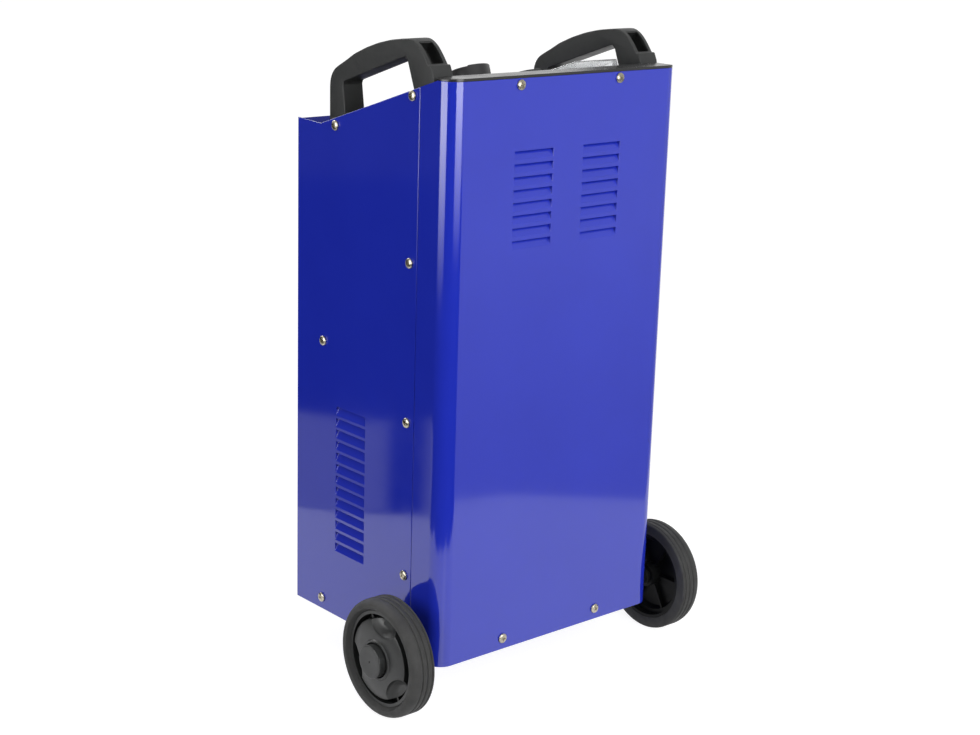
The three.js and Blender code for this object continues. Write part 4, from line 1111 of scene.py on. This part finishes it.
ROCKERS = (
    # name, x, up, opening length, opening width, words at the left and right
    ("power", 58, 58, 30, 20, ("ON", "OFF")),
    ("voltage", -5, 96, 22, 15, ("12", "24")),
)
KEY_ANGLE = 20  # how far each end of a rocker's key curves round its pivot
KEY_TIP = 10  # how far the key is tipped at rest
KEY_GAP = 0.4
PIVOT_RISE = 2.3


def rocker_key(name, reach, valley, width):
    """A key with two sloping halves that meet in a valley, and ends curved round its pivot."""
    end = arc(0, 0, reach, -KEY_ANGLE, KEY_ANGLE, 10)
    half = end + [(reach * 0.35, valley + reach * 0.035)]
    profile = half + [(0, valley)] + [(-px, py) for px, py in reversed(half)]
    return softened(rounded(slab(name, profile, -width / 2, width / 2), 0.5, 2, 40))


def rockers():
    lean = atan2(sin(radians(KEY_TIP)), cos(radians(KEY_ANGLE)))
    for name, x, up, length, width, words in ROCKERS:
        eased_solid(f"{name}_switch_body", f"{name}_switch_bezel", "black_plastic", "knob", 0.7, 3)
        reach = length / 2 - KEY_GAP
        valley = reach * (sin(radians(KEY_ANGLE)) - sin(radians(KEY_TIP)))
        key = rocker_key(f"{name}_rocker_key", reach, valley, width - 2 * KEY_GAP)
        tipped = on_panel(x, up, rise=PIVOT_RISE) @ turning(KEY_TIP, "Y")
        fit(moved(key, tipped @ turning(90, "X")), f"{name}_rocker", "black_plastic", "knob",
            f"{name}_rocker")
        left, right = [tipped @ moving(side * reach * 0.56, 0, valley + reach * 0.105)
                       @ Matrix.Rotation(-side * lean, 4, "Y") for side in (-1, 1)]
        bar = bar_mark(f"{name}_bar", 0.9, 5, left)
        ring = turned(f"{name}_ring", [(-0.05, 1.7), (0.05, 1.7), (0.05, 2.6), (-0.05, 2.6)], 24)
        marks = together(f"{name}_rocker_marks", bar, moved(ring, right))
        fit(marks, f"{name}_rocker", "black_plastic", "ink")
        labels = []
        for side, word in zip((-1, 1), words):
            spot = on_panel(x + side * (length / 2 + 10), up, rise=INK_RISE)
            labels.append(printed(f"{name}_word_{word}", word, 4.6, spot))
        fit(together(f"{name}_words", *labels), "cabinet", "black_powder_coat", "ink")


METER = (-72.5, 153.03)
METER_HALF = 30.0
METER_WALL = 1.5
DIAL_RISE = 4.46
NEEDLE_DROP = 16.0  # needle's pivot below the meter's middle
SCALE_RADIUS = 27.5
NUMBER_RADIUS = 35.2
SCALE_START, SCALE_END = 135, 45  # degrees, anticlockwise from the dial's right
SCALE_STEPS = 30


def meter_scale():
    x, up = METER
    pivot = up - NEEDLE_DROP
    parts = []

    def at(angle, reach):
        across, along = reach * cos(radians(angle)), reach * sin(radians(angle))
        return on_panel(x + across, pivot + along, rise=DIAL_RISE)

    for i in range(SCALE_STEPS + 1):
        angle = SCALE_START + (SCALE_END - SCALE_START) * i / SCALE_STEPS
        long_one = i % 10 == 0
        length = 4.2 if long_one else 3.0 if i % 5 == 0 else 1.8
        tick = at(angle, SCALE_RADIUS + length / 2) @ turning(angle, "Z")
        parts.append(bar_mark(f"meter_tick_{i}", length, 0.55 if long_one else 0.35, tick))
        if long_one:
            parts.append(printed(f"meter_number_{i}", str(i), 4.6, at(angle, NUMBER_RADIUS)))
    sweep = arc(0, 0, SCALE_RADIUS, SCALE_START, SCALE_END, SCALE_STEPS)
    sweep += [(px * 0.982, py * 0.982) for px, py in reversed(sweep)]
    curve = slab("meter_curve", sweep, -0.05, 0.05)
    parts.append(moved(curve, on_panel(x, pivot, rise=DIAL_RISE)))
    parts.append(printed("meter_unit", "A", 7, on_panel(x, up - 4, rise=DIAL_RISE)))
    fit(together("meter_scale", *parts), "cabinet", "dial_white", "scale")


def meter():
    eased_solid("meter_case", "meter_case_body", "black_plastic", "knob", 0.6)
    outside = (-METER_HALF, METER_HALF)
    inner = (METER_WALL - METER_HALF, METER_HALF - METER_WALL)
    cover = rounded(carved("meter_window", outside, outside, (3.6, 15)), 1.6, 4, 50)
    hollow = carved("meter_hollow", inner, inner, (0, 15 - METER_WALL))
    softened(cut(cover, rounded(hollow, 0.8, 2, 50)))
    fit(moved(cover, on_panel(*METER)), "cabinet", "clear_cover", "clear", "meter_cover")
    meter_scale()


BREAKER = (-5, 44)
LAMP = (-5, 150)


def breaker():
    nut = turned("breaker_nut", [(0.3, 4.4), (0.3, 9), (3.5, 9), (3.5, 4.4)], 6)
    rounded(nut, 0.5, 3, 40)
    neck = turned("breaker_neck", [(-1.9, 4.4), (-1.9, 6.4), (0.6, 6.4), (0.6, 4.4)], 48)
    housing = rounded(carved("breaker_housing", (-9, 9), (-16, 16), (-28.3, -2.3)), 1, 2, 50)
    cut(housing, turned("breaker_bore", [(-16.3, 0), (-16.3, 4.4), (0, 4.4), (0, 0)], 48))
    body = softened(together("breaker_collar", housing, neck, nut), 40)
    fit(moved(body, on_panel(*BREAKER)), "cabinet", "black_plastic", "knob", "breaker_body")
    push = softened(turned("breaker_push", [
        (-16, 0), (-16, 3.6), (-15.6, 4), (5.7, 4), (6.2, 3.8), (6.5, 3.2), (6.45, 1.5), (6.4, 0),
    ], 48))
    fit(moved(push, on_panel(*BREAKER)), "breaker_button", "black_plastic", "knob",
        "breaker_button")


def charge_lamp():
    dome = [(0.3 + 5.6 * sin(radians(a)), 6.2 * cos(radians(a))) for a in range(20, 90, 10)]
    lens = turned("lamp_lens", [
        (-14, 0), (-14, 4.5), (0.3, 4.5), (0.3, 6.5), (1.4, 6.5), (1.7, 6.2), *dome, (5.9, 0),
    ], 48)
    lens = moved(softened(lens, 40), on_panel(*LAMP))
    fit(lens, "cabinet", "lamp_amber", "lamp", "charge_lamp")


GLANDS = (
    # name, x, height over the cabinet's bottom, bore
    ("mains_gland", 0, 62, 5), ("positive_lead_gland", 70, 130, 7),
    ("negative_lead_gland", -70, 130, 7),
)


def glands():
    for name, x, height, bore in GLANDS:
        thread = bore + 3.2
        lip = bore + 1.5
        nose = [(15.4 + 6.6 * across, lip + (thread + 1 - lip) * up)
                for up, across in arc(0, 0, 1, 0, 75, 5)]
        body = turned(name + "_body", [
            (-12, bore), (-12, thread - 0.5), (-11.5, thread), (0.3, thread), (0.3, thread + 1),
            *nose, (22, lip), (22, bore),
        ], 48)
        nut = turned(name + "_nut", [
            (0.3, thread - 0.5), (0.3, thread + 4), (7, thread + 4), (7, thread - 0.5),
        ], 6)
        softened(fused(body, rounded(nut, 0.7, 3, 40)), 38)
        place = moving(x, FRONT, FLOOR + height) @ turning(90, "X")
        fit(moved(body, place), "cabinet", "black_plastic", "wheel", name)


# ---- Inside ----


def inside():
    for node, slot, finish, width in (
        ("transformer_core", "core_steel", "core", 0.5),
        ("transformer_winding", "copper_winding", "copper", 1.2),
        ("rectifier_plate", "heat_sink", "aluminium", 0.4),
        ("timer_body", "heat_sink", "aluminium", 1.0),
        ("charge_switch", "black_plastic", "knob", 1.0),
    ):
        eased_solid(node, node + "_block", slot, finish, width)


# ---- Making it all ----

camera()
studio()
side_covers()
rear_cover()
plain_sheets()
screws()
hand_grips()
wheels()
feet()
knobs()
rockers()
meter()
breaker()
charge_lamp()
glands()
inside()

for node, finish in (("meter_dial", "dial"), ("meter_needle", "needle")):
    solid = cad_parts[node]
    solid.data.materials.clear()
    solid.data.materials.append(LOOK[finish])
